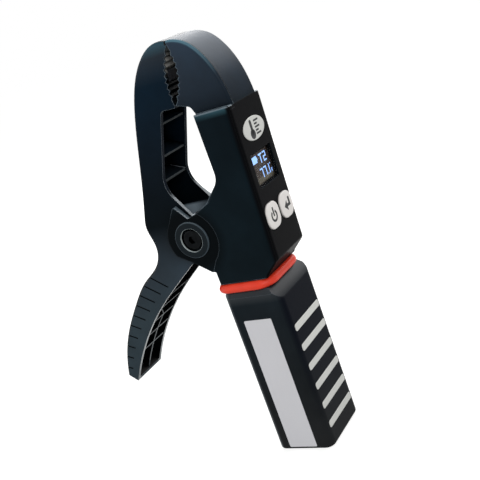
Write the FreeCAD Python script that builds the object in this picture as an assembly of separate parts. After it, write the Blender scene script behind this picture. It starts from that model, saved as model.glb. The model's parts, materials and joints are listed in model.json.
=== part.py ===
import FreeCAD, Part
import math
import os

# Wireless pipe clamp thermometer, in millimetres.
# X runs from the back of the grip to its front, where the display is, Y runs across, Z runs up.
# The origin is the middle of the grip's flat base.

Vector = FreeCAD.Vector
Rotation = FreeCAD.Rotation
Placement = FreeCAD.Placement

# Clearances
RUN = 0.05              # radial, pivot barrel in the jaw
GAP = 0.3               # between pieces that move past each other
SEAM = 0.35             # between the closed jaws
PILOT_SPARE = 0.5       # a pilot hole runs this far past its screw

# Grip sleeve
GRIP_DEPTH = 33.3       # along X
GRIP_WIDTH = 39.8       # along Y
GRIP_TOP = 96.2
GRIP_FRONT_CORNER = 5.1
GRIP_BACK_CORNER = 4.0
GRIP_BASE_ROUND = 1.6
GRIP_WALL = 2.0
GRIP_BEVEL_Z = 89.5     # where the front shoulder starts
GRIP_BEVEL_IN = 5.8     # how far the front shoulder leans in
GRIP_BACK_BEVEL_Z = 91.5
GRIP_BACK_BEVEL_IN = 1.4
GRIP_SIDE_BEVEL_Z = 93.2
GRIP_SIDE_BEVEL_IN = 2.0

# Light strips and grey panel on the grip
STRIPE_COUNT = 6
STRIPE_FIRST_Z = 70.5
STRIPE_PITCH = 11.7
STRIPE_WIDTH = 3.9
STRIPE_LENGTH = 30.8
STRIPE_ROUND = 1.2
STRIPE_DEEP = 1.0
STRIPE_PROUD = 0.3
STRIPE_EDGE = 0.25      # rounding of a strip's outer edge
LABEL_BACK_X = -9.4
LABEL_WIDTH = 16.8
LABEL_TOP_Z = 79.9
LABEL_THICK = 0.6
LABEL_LOW = 0.1         # lower edge above the base round
LABEL_ROUND = 0.8

# Neck, its spigot inside the grip, and the red ring round it
NECK_BACK_STEP = 0.55   # the neck stands in from the grip's sloped back top edge
NECK_FRONT_STEP = 1.95  # and from its sloped front top edge
NECK_SIDE_STEP = 4.5    # and from its sides
NECK_CORNER = 7.0
SPIGOT_STEP = 1.5       # the spigot is this much smaller at the back than the neck
SPIGOT_SIDE_STEP = 0.2  # and this much at its sides and front
SPIGOT_BOTTOM = 84.0
SPIGOT_WALL = 2.0
SPIGOT_FLOOR = 2.0
RING_THICK = 4.6
RING_SEAT = 0.3         # depth of the groove it sits in

# Head: display pod
POD_WIDTH = 35.6
POD_BOTTOM = 101.2
POD_TOP = 190.5
POD_FRONT_TOP = 23.85   # X of the front face at the pod's top
FRONT_TILT = 1.96       # degrees that the front face leans out towards the top
POD_CHIN_Z = 109.5      # lower edge of the front face
POD_INNER = 3.3         # X of the face towards the pipe
POD_FRONT_ROUND = 3.4
POD_EDGE_ROUND = 1.4
NECK_FLOOR = 2.8        # floor of the pod over the neck
WALL = 2.0
COVER_PLATE = 1.9       # thickness of the near cover's flat
COVER_JAW_PLATE = 1.6

# Jaws
JAW_WIDTH = 25.7
JAW_RISE = 37.9         # top of the jaws above the pod
JAW_WALL = 2.0
JAW_WEB = 2.4
JAW_EDGE_ROUND = 1.5
TOOTH_COUNT = 8
TOOTH_HEIGHT = 1.1
TOOTH_MARGIN = 0.11     # share of each leaf side, at either end, without teeth
TOOTH_WALL = 3.4
LEAF_TOP_X = -0.3
LEAF_TOP_DOWN = 2.4     # below the top of the jaws
LEAF_BOTTOM = (-7.6, 196.9)
LEAF_BULGE_FIXED = 4.6
LEAF_BULGE_MOVING = 3.5
PAD_DOWN = 16.2         # middle of the pad below the top of the jaws
PAD_HEIGHT = 6.0
PAD_LENGTH = 21.0
PAD_PROUD = 1.2
PAD_DEEP = 1.6
PAD_EDGE = 0.5
SENSOR_HEIGHT = 6.0
SENSOR_LENGTH = 18.0
SENSOR_DEEP = 1.2
SENSOR_PROUD = 0.4
SENSOR_CUP_RADIUS = 2.0
SENSOR_CUP_LONG = 4.2

# Moving jaw: ribbed channel and lever
CHANNEL_LOW = (-33.05, 157.4)
CHANNEL_HIGH = (-17.2, 196.4)
CHANNEL_LIP = (-8.3, 195.9)
LEVER_END_BACK = (-109.1, 50.7)
LEVER_END_FRONT = (-103.2, 45.9)
RIB_THICK = 1.1
RIB_BELOW = 0.6         # ribs end this far below the channel's edges
CHANNEL_RIBS = (3.4, 17.0, 34.8)
LEVER_RIB_FIRST = 22.3
LEVER_RIB_PITCH = 11.2
LEVER_RIB_COUNT = 5
GROOVE_START = (-65.2, 110.6)
GROOVE_COUNT = 10
GROOVE_PITCH = 7.8
GROOVE_WIDE = 0.85
GROOVE_DEEP = 0.7
GROOVE_LONG = 13.0
GROOVE_SHORT = 4.6
GROOVE_TILT = -37.0
GROOVE_TILT_END = -18.0

# Pivot
PIVOT = (-24.85, 128.0)
HUB_RADIUS = 12.5
HUB_CLEAR = 0.8
EAR_RADIUS = 15.4
EAR_THICK = 2.85
EAR_SIDE_CLEAR = 0.3
EAR_STEP_WALL = 2.0     # wall of that step
BOSS_RADIUS = 10.2
BOSS_ROUND = 0.5
BOSS_PROUD = 0.9
BOSS_RECESS = 6.6
BOSS_RECESS_DEEP = 2.9
STEP_RADIUS = 16.7      # where the ears step up to the pod's sides
EAR_LAP = 0.5           # how far the ears run on under that step
HUB_TUBE_RADIUS = 6.5
HUB_TUBE_END = 7.0      # from the middle
BARREL_RADIUS = 4.0
SCREW_RADIUS = 2.5
SCREW_HEAD_RADIUS = 5.5
SCREW_HEAD_THICK = 2.2
SCREW_HEAD_EDGE = 0.7
SCREW_SOCKET = 4.0      # across flats
NUT_FLATS = 9.0
NUT_THICK = 2.2
SHROUD_THICK = 1.8
SHROUD_LOW = -44.0      # the hub's front wall, degrees from +X towards +Z
SHROUD_HIGH = 77.5

# Closing spring
WIRE = 1.6
COIL_RADIUS = 6.3
COIL_TURNS = 5
COIL_PITCH = 2.15
LEG_ANGLE = 215.0       # direction of the leg that pushes the lever, degrees from +X towards +Z
LEG_LENGTH = 30.5
FIXED_LEG_LENGTH = 18.0
LEG_CLEAR = 0.15        # between the fixed leg and the wall it lies against

# Screws that hold the near cover, from the far side, as (x, z)
POD_SCREWS = [(9.2, 183.6), (11.4, 110.0), (-9.8, 109.6), (-0.5, 139.8)]
JAW_SCREW_X = 12.0
JAW_SCREW_DOWN = 13.0   # below the top of the jaws
POST_RADIUS = 2.8
POST_MEET_Y = 0.0
COVER_SCREW_RADIUS = 1.5
COVER_SCREW_BITE = 8.0
COVER_HEAD_RADIUS = 2.8
COVER_HEAD_THICK = 1.8
COVER_HEAD_DEEP = 2.6

# Front face, in its own frame: across, and up the face from FACE_Z
FACE_Z = 150.0
BADGE_WIDTH = 22.0
BADGE_HEIGHT = 11.8
BADGE_UP = 24.5
BADGE_THICK = 1.2
BADGE_PROUD = 0.4
BADGE_EDGE = 0.3
WINDOW_WIDTH = 22.0
WINDOW_HEIGHT = 17.6
WINDOW_UP = 4.7
WINDOW_THICK = 1.2
WINDOW_SUNK = 0.3
WINDOW_LEDGE = 1.0
WINDOW_ROUND = 1.0
BUTTON_WIDTH = 13.2
BUTTON_HEIGHT = 13.6
BUTTON_ROUND = 5.0
BUTTON_PITCH = 15.6
BUTTON_UP = -19.4
BUTTON_PROUD = 0.9
BUTTON_EDGE = 0.6
BUTTON_FLANGE = 0.75
BUTTON_FLANGE_THICK = 0.8
BUTTON_TRAVEL = 0.8

# Electronics
BOARD_WIDTH = 29.6
BOARD_MARGIN = 2.3      # board past the middle of its screws
BOARD_THICK = 1.6
BOARD_ROUND = 1.5
BOARD_BEHIND = 5.6      # from the front surface to the board's front
BOARD_SCREW_ACROSS = 11.5
DISPLAY_WIDTH = 26.7
DISPLAY_HEIGHT = 19.3
DISPLAY_GLASS = 1.5
DISPLAY_ROUND = 0.4
DISPLAY_LEDGE = 1.5     # the glass past its carrier
BOARD_POST_RADIUS = 2.2
BOARD_SCREW_RADIUS = 1.0
BOARD_SCREW_LENGTH = 3.4
BOARD_HEAD_RADIUS = 1.9
BOARD_HEAD_THICK = 1.2
RADIO_WIDTH = 18.0
RADIO_HEIGHT = 14.0
RADIO_THICK = 2.4
RADIO_ROUND = 0.6
RADIO_UP = 12.0
SOCKET_WIDTH = 6.0
SOCKET_HEIGHT = 4.5
SOCKET_DEEP = 3.4
SOCKET_ROUND = 0.3
LEAD_SOCKET_Y = 4.0
LEAD_SOCKET_UP = 22.0
POWER_SOCKET_UP = -28.0
SWITCH_SIZE = 6.0
SWITCH_ROUND = 0.5
SWITCH_CASE = 1.0
SWITCH_PLUNGER = 1.6
SWITCH_PLUNGER_RADIUS = 1.6
LEAD_THICK = 2.2

# Cells and their carrier
CELL_RADIUS = 7.1
CELL_LENGTH = 49.2
CELL_NUB = 1.3
CELL_NUB_RADIUS = 2.7
CELL_GAP = 0.4
CELL_ROOM = 0.1
CELL_EDGE = 0.6
TRAY_WALL = 1.3         # behind the cells
TRAY_END = 1.6
TRAY_SIDE_REACH = 2.5   # how far its sides pass the middle of the cells
TRAY_SCREW_X = 4.7
TRAY_SCREW_Y = 9.0
TRAY_SCREW_RADIUS = 1.0
TRAY_SCREW_LENGTH = 6.5
TRAY_HEAD_RADIUS = 1.9
TRAY_HEAD_THICK = 1.2
TRAY_POST_RADIUS = 2.4
TRAY_POST_HEIGHT = 5.5
CONTACT_THICK = 0.4
CONTACT_PLATE = 10.0
CONTACT_SPRING = 4.6
CONTACT_WIRE = 0.7
CONTACT_COIL = 3.0
CONTACT_TURNS = 3
LEAD_HOLE = 1.2
LEAD_HOLE_X = -8.6
BATTERY_WIRE = 1.2

# Worked out from the sizes above
HALF_POD = POD_WIDTH / 2
HALF_JAW = JAW_WIDTH / 2
JAW_INNER = HALF_JAW - JAW_WALL
EAR_IN = HALF_JAW + EAR_SIDE_CLEAR
EAR_OUT = EAR_IN + EAR_THICK
JAW_TOP = POD_TOP + JAW_RISE
TIP_X = LEAF_TOP_X - 0.9    # where the two jaws' backs meet
LEAF_TOP = (LEAF_TOP_X, JAW_TOP - LEAF_TOP_DOWN)
JAW_SCREWS = [(JAW_SCREW_X, JAW_TOP - JAW_SCREW_DOWN)]
NECK_WIDTH = GRIP_WIDTH - 2 * NECK_SIDE_STEP
NECK_BACK = GRIP_BACK_BEVEL_IN + NECK_BACK_STEP - GRIP_DEPTH / 2
NECK_FRONT = GRIP_DEPTH / 2 - GRIP_BEVEL_IN - NECK_FRONT_STEP
RING_Z = GRIP_TOP + GAP + RING_THICK / 2
FRONT_SLOPE = math.tan(math.radians(FRONT_TILT))
COVER_Y = -(HALF_POD - COVER_PLATE)
COVER_JAW_Y = -(HALF_JAW - COVER_JAW_PLATE)
FIXED_LEG_X = PIVOT[0] + COIL_RADIUS
BOSS_FLOOR = EAR_OUT + BOSS_PROUD - BOSS_RECESS_DEEP
BEHIND_WALL = -WALL - GAP
BOARD_FRONT = -BOARD_BEHIND
BOARD_BACK = -BOARD_BEHIND - BOARD_THICK
BOARD_SCREW_UP = BUTTON_HEIGHT / 2 + BUTTON_FLANGE - BUTTON_UP + GAP + BOARD_POST_RADIUS
BOARD_HEIGHT = 2 * (BOARD_SCREW_UP + BOARD_MARGIN)
CELL_X = NECK_BACK + SPIGOT_STEP + TRAY_WALL + CELL_ROOM + CELL_RADIUS
CELL_Y = CELL_RADIUS + CELL_GAP / 2
TRAY_HEIGHT = 2 * TRAY_END + 2 * CONTACT_THICK + CONTACT_SPRING + CELL_LENGTH + CELL_NUB


os.makedirs("parts", exist_ok=True)


def front_x(z):
    """X of the front face at height z."""
    return POD_FRONT_TOP - (POD_TOP - z) * FRONT_SLOPE


def side(p, y=0.0):
    """A point of a side outline, given as (x, z)."""
    return Vector(p[0], y, p[1])


def plan(p, z=0.0):
    """A point of a plan outline, given as (x, y)."""
    return Vector(p[0], p[1], z)


def elevation(p, x=0.0):
    """A point of a front outline, given as (y, z)."""
    return Vector(x, p[0], p[1])


def rounded(points, place=side):
    """Closed wire through (a, b, radius) corners, each rounded with a tangent arc."""
    spots = []
    count = len(points)
    for i, (a, b, r) in enumerate(points):
        here = place((a, b))
        back = (place(points[i - 1][:2]) - here).normalize()
        ahead = (place(points[(i + 1) % count][:2]) - here).normalize()
        if r <= 0:
            spots.append((here, None, here))
            continue
        half = back.getAngle(ahead) / 2
        reach = r / math.tan(half)
        middle = (back + ahead).normalize()
        spots.append((here + back * reach, here + middle * (r / math.sin(half) - r), here + ahead * reach))
    edges = []
    for i, (start, mid, end) in enumerate(spots):
        if mid:
            edges.append(Part.Arc(start, mid, end).toShape())
        following = spots[(i + 1) % count][0]
        if (following - end).Length > 1e-6:
            edges.append(Part.makeLine(end, following))
    return Part.Wire(edges)


def prism(wire, start, travel):
    """Solid from a closed wire moved by start and pushed along travel."""
    face = Part.Face(wire)
    face.translate(start)
    return face.extrude(travel)


def across(wire, y0, y1):
    """Solid from a side outline between two Y values."""
    return prism(wire, Vector(0, y0, 0), Vector(0, y1 - y0, 0))


def upright(wire, z0, z1):
    """Solid from a plan outline between two heights."""
    return prism(wire, Vector(0, 0, z0), Vector(0, 0, z1 - z0))


def outward(wire, x0, x1):
    """Solid from a front outline between two X values."""
    return prism(wire, Vector(x0, 0, 0), Vector(x1 - x0, 0, 0))


def block(x0, x1, y0, y1, z0, z1):
    return Part.makeBox(x1 - x0, y1 - y0, z1 - z0, Vector(x0, y0, z0))


def rod(radius, y0, y1, centre=PIVOT):
    """Cylinder along Y."""
    return Part.makeCylinder(radius, y1 - y0, side(centre, y0), Vector(0, 1, 0))


def stud(radius, x0, x1, y, z):
    """Cylinder along X."""
    return Part.makeCylinder(radius, x1 - x0, Vector(x0, y, z), Vector(1, 0, 0))


def pillar(radius, z0, z1, x, y):
    """Upright cylinder."""
    return Part.makeCylinder(radius, z1 - z0, Vector(x, y, z0))


def oblong(width, height, corner, y=0.0, z=0.0):
    """Front outline of a rounded rectangle about (y, z)."""
    w = width / 2
    h = height / 2
    return rounded([(y - w, z - h, corner), (y + w, z - h, corner),
                    (y + w, z + h, corner), (y - w, z + h, corner)], elevation)


def fuse(shapes):
    shapes = list(shapes)
    return shapes[0].multiFuse(shapes[1:]).removeSplitter()


def on_front(shape):
    """Move a shape drawn in the front face's own frame to its place on the head."""
    placed = shape.copy()
    placed.Placement = Placement(Vector(front_x(FACE_Z), 0, FACE_Z), Rotation(Vector(0, 1, 0), FRONT_TILT))
    return placed


def save(name, shape):
    """Write one piece, or a group of like pieces, as a STEP file."""
    shape.exportStep("parts/" + name + ".step")
    print("%-18s solids %d valid %s volume %.1f" % (name, len(shape.Solids), shape.isValid(), shape.Volume))


def polar(centre, radius, degrees):
    a = math.radians(degrees)
    return (centre[0] + radius * math.cos(a), centre[1] + radius * math.sin(a))


def bulge_arc(start, end, bulge):
    """Middle point, centre and radius of an arc that bulges to the left of the way from start to end."""
    dx = end[0] - start[0]
    dz = end[1] - start[1]
    chord = math.hypot(dx, dz)
    left = (-dz / chord, dx / chord)
    mid = ((start[0] + end[0]) / 2 + left[0] * bulge, (start[1] + end[1]) / 2 + left[1] * bulge)
    circle = Part.Arc(side(start), side(mid), side(end)).toShape().Curve
    return mid, (circle.Center.x, circle.Center.z), circle.Radius


def toothed(start, end, bulge):
    """Points along the arc from start to end, with ridges towards the arc's centre."""
    mid, centre, radius = bulge_arc(start, end, bulge)
    first = math.degrees(math.atan2(start[1] - centre[1], start[0] - centre[0]))
    sweep = math.degrees(math.atan2(end[1] - centre[1], end[0] - centre[0])) - first
    if sweep > 180:
        sweep -= 360
    if sweep < -180:
        sweep += 360
    steps = 2 * TOOTH_COUNT
    points = [start]
    for i in range(steps + 1):
        share = TOOTH_MARGIN + (1 - 2 * TOOTH_MARGIN) * i / steps
        height = TOOTH_HEIGHT if i % 2 else 0
        points.append(polar(centre, radius - height, first + sweep * share))
    points.append(end)
    return points


def run(points):
    """Straight edges through side points."""
    return [Part.makeLine(side(a), side(b)) for a, b in zip(points, points[1:])]


def arc(a, b, c):
    return Part.Arc(side(a), side(b), side(c)).toShape()


def spline(points):
    curve = Part.BSplineCurve()
    curve.interpolate([side(p) for p in points])
    return curve


def inset(curve, distance, steps=24):
    """Side points beside a curve, to the left of its way."""
    low = curve.FirstParameter
    high = curve.LastParameter
    points = []
    for i in range(steps + 1):
        t = low + (high - low) * i / steps
        here = curve.value(t)
        way = Vector(*curve.tangent(t)[0])
        points.append((here.x - way.z * distance, here.z + way.x * distance))
    return points


def corner(a, p, b, radius):
    """Start, tangent arc and end of a rounded corner at p, on the way from a to b."""
    back = (side(a) - side(p)).normalize()
    ahead = (side(b) - side(p)).normalize()
    half = back.getAngle(ahead) / 2
    reach = radius / math.tan(half)
    start = side(p) + back * reach
    end = side(p) + ahead * reach
    mid = side(p) + (back + ahead).normalize() * (radius / math.sin(half) - radius)
    return (start.x, start.z), Part.Arc(start, mid, end).toShape(), (end.x, end.z)


def round_edges(shape, radius, wanted):
    """Round the edges that wanted(edge) picks."""
    edges = [e for e in shape.Edges if wanted(e)]
    return shape.makeFillet(radius, edges)


def biarc(p0, t0, p1, t1):
    """Two tangent arcs from p0 along t0 to p1 along t1."""
    v = p1 - p0
    t = t0 + t1
    k = 2 * (1 - t0.dot(t1))
    vt = v.dot(t)
    d = (-vt + math.sqrt(vt * vt + k * v.dot(v))) / k
    q = (p0 + p1 + (t0 - t1) * d) / 2
    edges = []
    for a, b, apex in ((p0, q, p0 + t0 * d), (q, p1, p1 - t1 * d)):
        chord = b - a
        half = chord.Length / 2
        foot = (a + b) / 2
        angle = math.acos(min(1.0, half / d))
        mid = foot + (apex - foot).normalize() * (half * math.tan(angle / 2))
        edges.append(Part.Arc(a, mid, b).toShape())
    return edges


def helix_point(centre, radius, angle, start_angle, start_y, pitch):
    a = math.radians(angle)
    y = start_y + pitch * (angle - start_angle) / 360
    return Vector(centre[0] + radius * math.cos(a), y, centre[1] + radius * math.sin(a))


def helix_way(radius, angle, pitch):
    a = math.radians(angle)
    rise = pitch / (2 * math.pi)
    return Vector(-radius * math.sin(a), rise, radius * math.cos(a)).normalize()


def tube(edges, radius):
    """Round bar along connected edges."""
    path = Part.Wire(edges)
    start = path.OrderedVertexes[0].Point
    first = path.OrderedEdges[0]
    way = first.tangentAt(first.FirstParameter)
    if (first.valueAt(first.FirstParameter) - start).Length > 1e-6:
        way = first.tangentAt(first.LastParameter) * -1
    section = Part.Wire([Part.Circle(start, way, radius).toShape()])
    return path.makePipeShell([section], True, False)


def self_gap(points, wire, apart):
    """Least gap between stretches of a bar that are more than apart points from each other."""
    least = 1e9
    for i in range(len(points)):
        for j in range(i + apart, len(points)):
            least = min(least, (points[i] - points[j]).Length - wire)
    return least


def route(points, radius_share=0.45):
    """Straight runs joined by tangent arcs, each as large as its two runs allow."""
    edges = []
    at = points[0]
    radii = []
    for i in range(1, len(points) - 1):
        back = points[i - 1] - points[i]
        ahead = points[i + 1] - points[i]
        shorter = min(back.Length, ahead.Length)
        turn = math.pi - back.getAngle(ahead)
        radius = radius_share * shorter / math.tan(turn / 2)
        reach = radius_share * shorter
        b = back.normalize()
        a = ahead.normalize()
        start = points[i] + b * reach
        end = points[i] + a * reach
        half = b.getAngle(a) / 2
        mid = points[i] + (a + b).normalize() * (radius / math.sin(half) - radius)
        edges.append(Part.makeLine(at, start))
        edges.append(Part.Arc(start, mid, end).toShape())
        radii.append(radius)
        at = end
    edges.append(Part.makeLine(at, points[-1]))
    return edges, radii


# Outlines of the head, seen from the side

def fixed_jaw_outer():
    """Outer edge of the fixed jaw from its tip down to the pod."""
    return spline([(TIP_X + SEAM / 2, JAW_TOP), (5.2, JAW_TOP - 1.1), (10.6, JAW_TOP - 4.0),
                   (15.2, JAW_TOP - 9.0), (19.9, JAW_TOP - 17.8), (22.6, POD_TOP + 10.8),
                   (POD_FRONT_TOP, POD_TOP)])


def leaf_side(shift):
    """Leaf ends moved to one jaw's side of the seam."""
    return (LEAF_TOP[0] + shift, LEAF_TOP[1]), (LEAF_BOTTOM[0] + shift, LEAF_BOTTOM[1])


def fixed_jaw_outline():
    outer = fixed_jaw_outer()
    top, bottom = leaf_side(SEAM / 2)
    low = (POD_INNER + 1.4, POD_TOP - 6)
    inner_start, inner_arc, inner_end = corner(bottom, (0.6, 194.6), low, 3.2)
    tip = (outer.StartPoint.x, outer.StartPoint.z)
    edges = [outer.toShape()]
    edges += run([(POD_FRONT_TOP, POD_TOP), (front_x(low[1]) - 1.0, low[1]), low, inner_end])
    edges += [inner_arc]
    edges += run([inner_start, bottom])
    edges += run(toothed(bottom, top, -LEAF_BULGE_FIXED))
    edges += run([top, tip])
    return Part.Wire(Part.__sortEdges__(edges))


def pod_outline():
    """Side outline of the pod where its back steps down round the ears."""
    ring = (polar(PIVOT, STEP_RADIUS, 57), polar(PIVOT, STEP_RADIUS, 0), polar(PIVOT, STEP_RADIUS, -50))
    top = (POD_INNER, POD_TOP)
    chin = (front_x(POD_CHIN_Z), POD_CHIN_Z)
    a1, e1, b1 = corner((POD_INNER - 0.1, 165.0), (3.2, 156.4), (-8.5, 145.3), 9.0)
    edges = run([top, (POD_FRONT_TOP, POD_TOP), chin, (13.2, 102.4), (12.4, POD_BOTTOM),
                 (-16.4, POD_BOTTOM), (-16.5, 108.6), (-18.0, 109.3), ring[2]])
    edges += [arc(ring[2], ring[1], ring[0])]
    edges += run([ring[0], (-8.5, 145.3), b1])
    edges += [e1]
    edges += run([a1, top])
    return Part.Wire(Part.__sortEdges__(edges))


def ear_outline():
    """One ear: a disc about the pivot, a horn beside the jaw's channel and a straight lower edge."""
    reach = STEP_RADIUS + EAR_LAP
    left = polar(PIVOT, EAR_RADIUS, 152)
    lower = polar(PIVOT, EAR_RADIUS, 210)
    right_top = polar(PIVOT, reach, 54)
    right_low = polar(PIVOT, reach, -50)
    horn = (-29.6, 147.6)
    a1, e1, b1 = corner((-23.1, 139.6), horn, left, 1.2)
    edges = run([right_top, (-17.8, 141.2), (-23.1, 139.6), a1])
    edges += [e1]
    edges += run([b1, left])
    edges += [arc(left, polar(PIVOT, EAR_RADIUS, 181), lower)]
    edges += run([lower, (-30.0, 115.6), (-19.8, 108.3), (-14.0, 108.3), right_low])
    edges += [arc(right_low, polar(PIVOT, reach, 0), right_top)]
    return Part.Wire(Part.__sortEdges__(edges))


def spring_wall_x():
    """X of the wall that the spring's fixed leg lies against."""
    return FIXED_LEG_X + WIRE / 2 + LEG_CLEAR


def hub_wall_outline():
    """Curved wall between the ears, round the jaw's hub, with a flat lower stretch."""
    inner = HUB_RADIUS + HUB_CLEAR
    reach = STEP_RADIUS + EAR_LAP
    wall_x = spring_wall_x()
    low = (wall_x, PIVOT[1] - math.sqrt(inner ** 2 - (wall_x - PIVOT[0]) ** 2))
    high = polar(PIVOT, inner, 62)
    outer_top = polar(PIVOT, reach, 54)
    outer_low = polar(PIVOT, reach, -50)
    edges = [arc(low, polar(PIVOT, inner, 0), high)]
    edges += run([high, outer_top])
    edges += [arc(outer_top, polar(PIVOT, reach, 0), outer_low)]
    edges += run([outer_low, (-14.6, 108.8), (wall_x, 109.2), low])
    return Part.Wire(Part.__sortEdges__(edges))


def jaw_space():
    """Side outline of the space between the ears that the moving jaw turns in."""
    radius = HUB_RADIUS + HUB_CLEAR
    wall_x = spring_wall_x()
    low = (wall_x, PIVOT[1] - math.sqrt(radius ** 2 - (wall_x - PIVOT[0]) ** 2))
    high = polar(PIVOT, radius, 62)
    edges = [arc(low, polar(PIVOT, radius, 0), high)]
    edges += run([high, (-22.0, 152.0), (-60.0, 152.0), (-60.0, 95.0), (wall_x, 95.0), low])
    return Part.Wire(Part.__sortEdges__(edges))


def pod_space(radius):
    """Side outline of the pod's inside, which stays outside a radius about the pivot."""
    top_z = POD_TOP - WALL
    back_x = POD_INNER + WALL
    low_z = POD_BOTTOM + NECK_FLOOR
    chin_z = POD_CHIN_Z + 1.0
    start = polar(PIVOT, radius, -50)
    end = polar(PIVOT, radius, 50)
    edges = [arc(start, polar(PIVOT, radius, 0), end)]
    edges += run([end, (-7.4, 143.6), (back_x, 155.6), (back_x, top_z), (front_x(top_z) - WALL, top_z),
                  (front_x(chin_z) - WALL, chin_z), (12.0, low_z), (-14.4, low_z), start])
    return Part.Wire(Part.__sortEdges__(edges))


def fixed_jaw_space():
    """Side outline of the fixed jaw's inside, open downward into the pod."""
    beside = inset(fixed_jaw_outer(), -WALL, 16)
    beside = [p for p in beside if p[0] > 3.0 and p[1] > POD_TOP]
    top, bottom = leaf_side(SEAM / 2)
    mid, centre, radius = bulge_arc(bottom, top, -LEAF_BULGE_FIXED)
    first = math.degrees(math.atan2(bottom[1] - centre[1], bottom[0] - centre[0])) - 360
    last = math.degrees(math.atan2(top[1] - centre[1], top[0] - centre[0]))
    if last - first > 180:
        first += 360
    low = polar(centre, radius + TOOTH_WALL, first + (last - first) * 0.16)
    half = polar(centre, radius + TOOTH_WALL, first + (last - first) * 0.5)
    high = polar(centre, radius + TOOTH_WALL, first + (last - first) * 0.84)
    mouth_z = POD_TOP - 2 * WALL
    back_x = POD_INNER + WALL
    edges = [arc(low, half, high), Part.makeLine(side(high), side(beside[0])), spline(beside).toShape()]
    edges += run([beside[-1], (front_x(mouth_z) - WALL, mouth_z), (back_x, mouth_z),
                  (back_x, POD_TOP + 1.0), low])
    return Part.Wire(Part.__sortEdges__(edges))


# Edge pickers for the roundings

def in_side_plane(edge, y):
    """Whether an edge lies in the plane at Y = y or Y = -y."""
    at = [v.Y for v in edge.Vertexes]
    return all(abs(abs(a) - y) < 1e-4 for a in at) and (max(at) - min(at) < 1e-4)


def rim_at(edge, y):
    """Whether an edge is a full circle in the plane at Y = y."""
    return len(edge.Vertexes) == 1 and abs(edge.Vertexes[0].Y - y) < 1e-4


def facing_front(edge, x):
    """Whether an edge lies in the plane at X = x."""
    return all(abs(v.X - x) < 1e-6 for v in edge.Vertexes)


def along_front(edge):
    low = min(v.Z for v in edge.Vertexes)
    high = max(v.Z for v in edge.Vertexes)
    on_face = all(abs(v.X - front_x(v.Z)) < 1e-3 for v in edge.Vertexes)
    return on_face and high - low > (POD_TOP - POD_CHIN_Z) / 2


# Head: display pod, ears, fixed jaw, neck and spigot

def pod_block():
    pod = across(pod_outline(), -HALF_POD, HALF_POD)
    pod = round_edges(pod, POD_FRONT_ROUND, lambda e: in_side_plane(e, HALF_POD) and along_front(e))
    return round_edges(pod, POD_EDGE_ROUND, lambda e: in_side_plane(e, HALF_POD) and crown(e))


def crown(edge):
    """Whether an edge of the pod's side is one that the hand meets: top, pipe side and chin."""
    low = min(v.Z for v in edge.Vertexes)
    lowest_x = min(v.X for v in edge.Vertexes)
    return low > 144.0 or (lowest_x > 12.0 and low < POD_CHIN_Z)


def fixed_jaw_block():
    jaw = across(fixed_jaw_outline(), -HALF_JAW, HALF_JAW)
    curved = "Part::GeomBSplineCurve"
    return round_edges(jaw, JAW_EDGE_ROUND, lambda e: in_side_plane(e, HALF_JAW) and e.Curve.TypeId == curved)


def neck_outline(inside=0.0):
    """Plan outline of the neck, drawn in or out all round."""
    w = NECK_WIDTH / 2 - inside
    r = NECK_CORNER - inside
    return rounded([(NECK_BACK + inside, -w, r), (NECK_FRONT - inside, -w, r),
                    (NECK_FRONT - inside, w, r), (NECK_BACK + inside, w, r)], plan)


def spigot_outline(inside=0.0):
    """Plan outline of the spigot that the grip slides over."""
    w = NECK_WIDTH / 2 - SPIGOT_SIDE_STEP - inside
    r = NECK_CORNER - 1.0 - inside
    back = NECK_BACK + SPIGOT_STEP + inside
    front = NECK_FRONT - SPIGOT_SIDE_STEP - inside
    return rounded([(back, -w, r), (front, -w, r), (front, w, r), (back, w, r)], plan)


def ring_tube(radius):
    """Bar round the neck at the red ring's place."""
    loop = neck_outline(-(RING_THICK / 2 - RING_SEAT))
    loop.translate(Vector(0, 0, RING_Z))
    return tube(loop.Edges, radius)


def cover_zone():
    """The side of the head that the near cover takes up."""
    beyond = -HALF_POD - 1
    flat = block(-40, 40, beyond, COVER_Y, POD_BOTTOM, POD_TOP)
    disc = rod(STEP_RADIUS + EAR_STEP_WALL - 0.5, beyond, -EAR_IN)
    ear = across(ear_outline(), beyond, -EAR_IN)
    jaw = block(-15, 40, beyond, COVER_JAW_Y, POD_TOP - WALL, JAW_TOP + 1)
    return fuse([flat, disc, ear, jaw])


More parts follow.
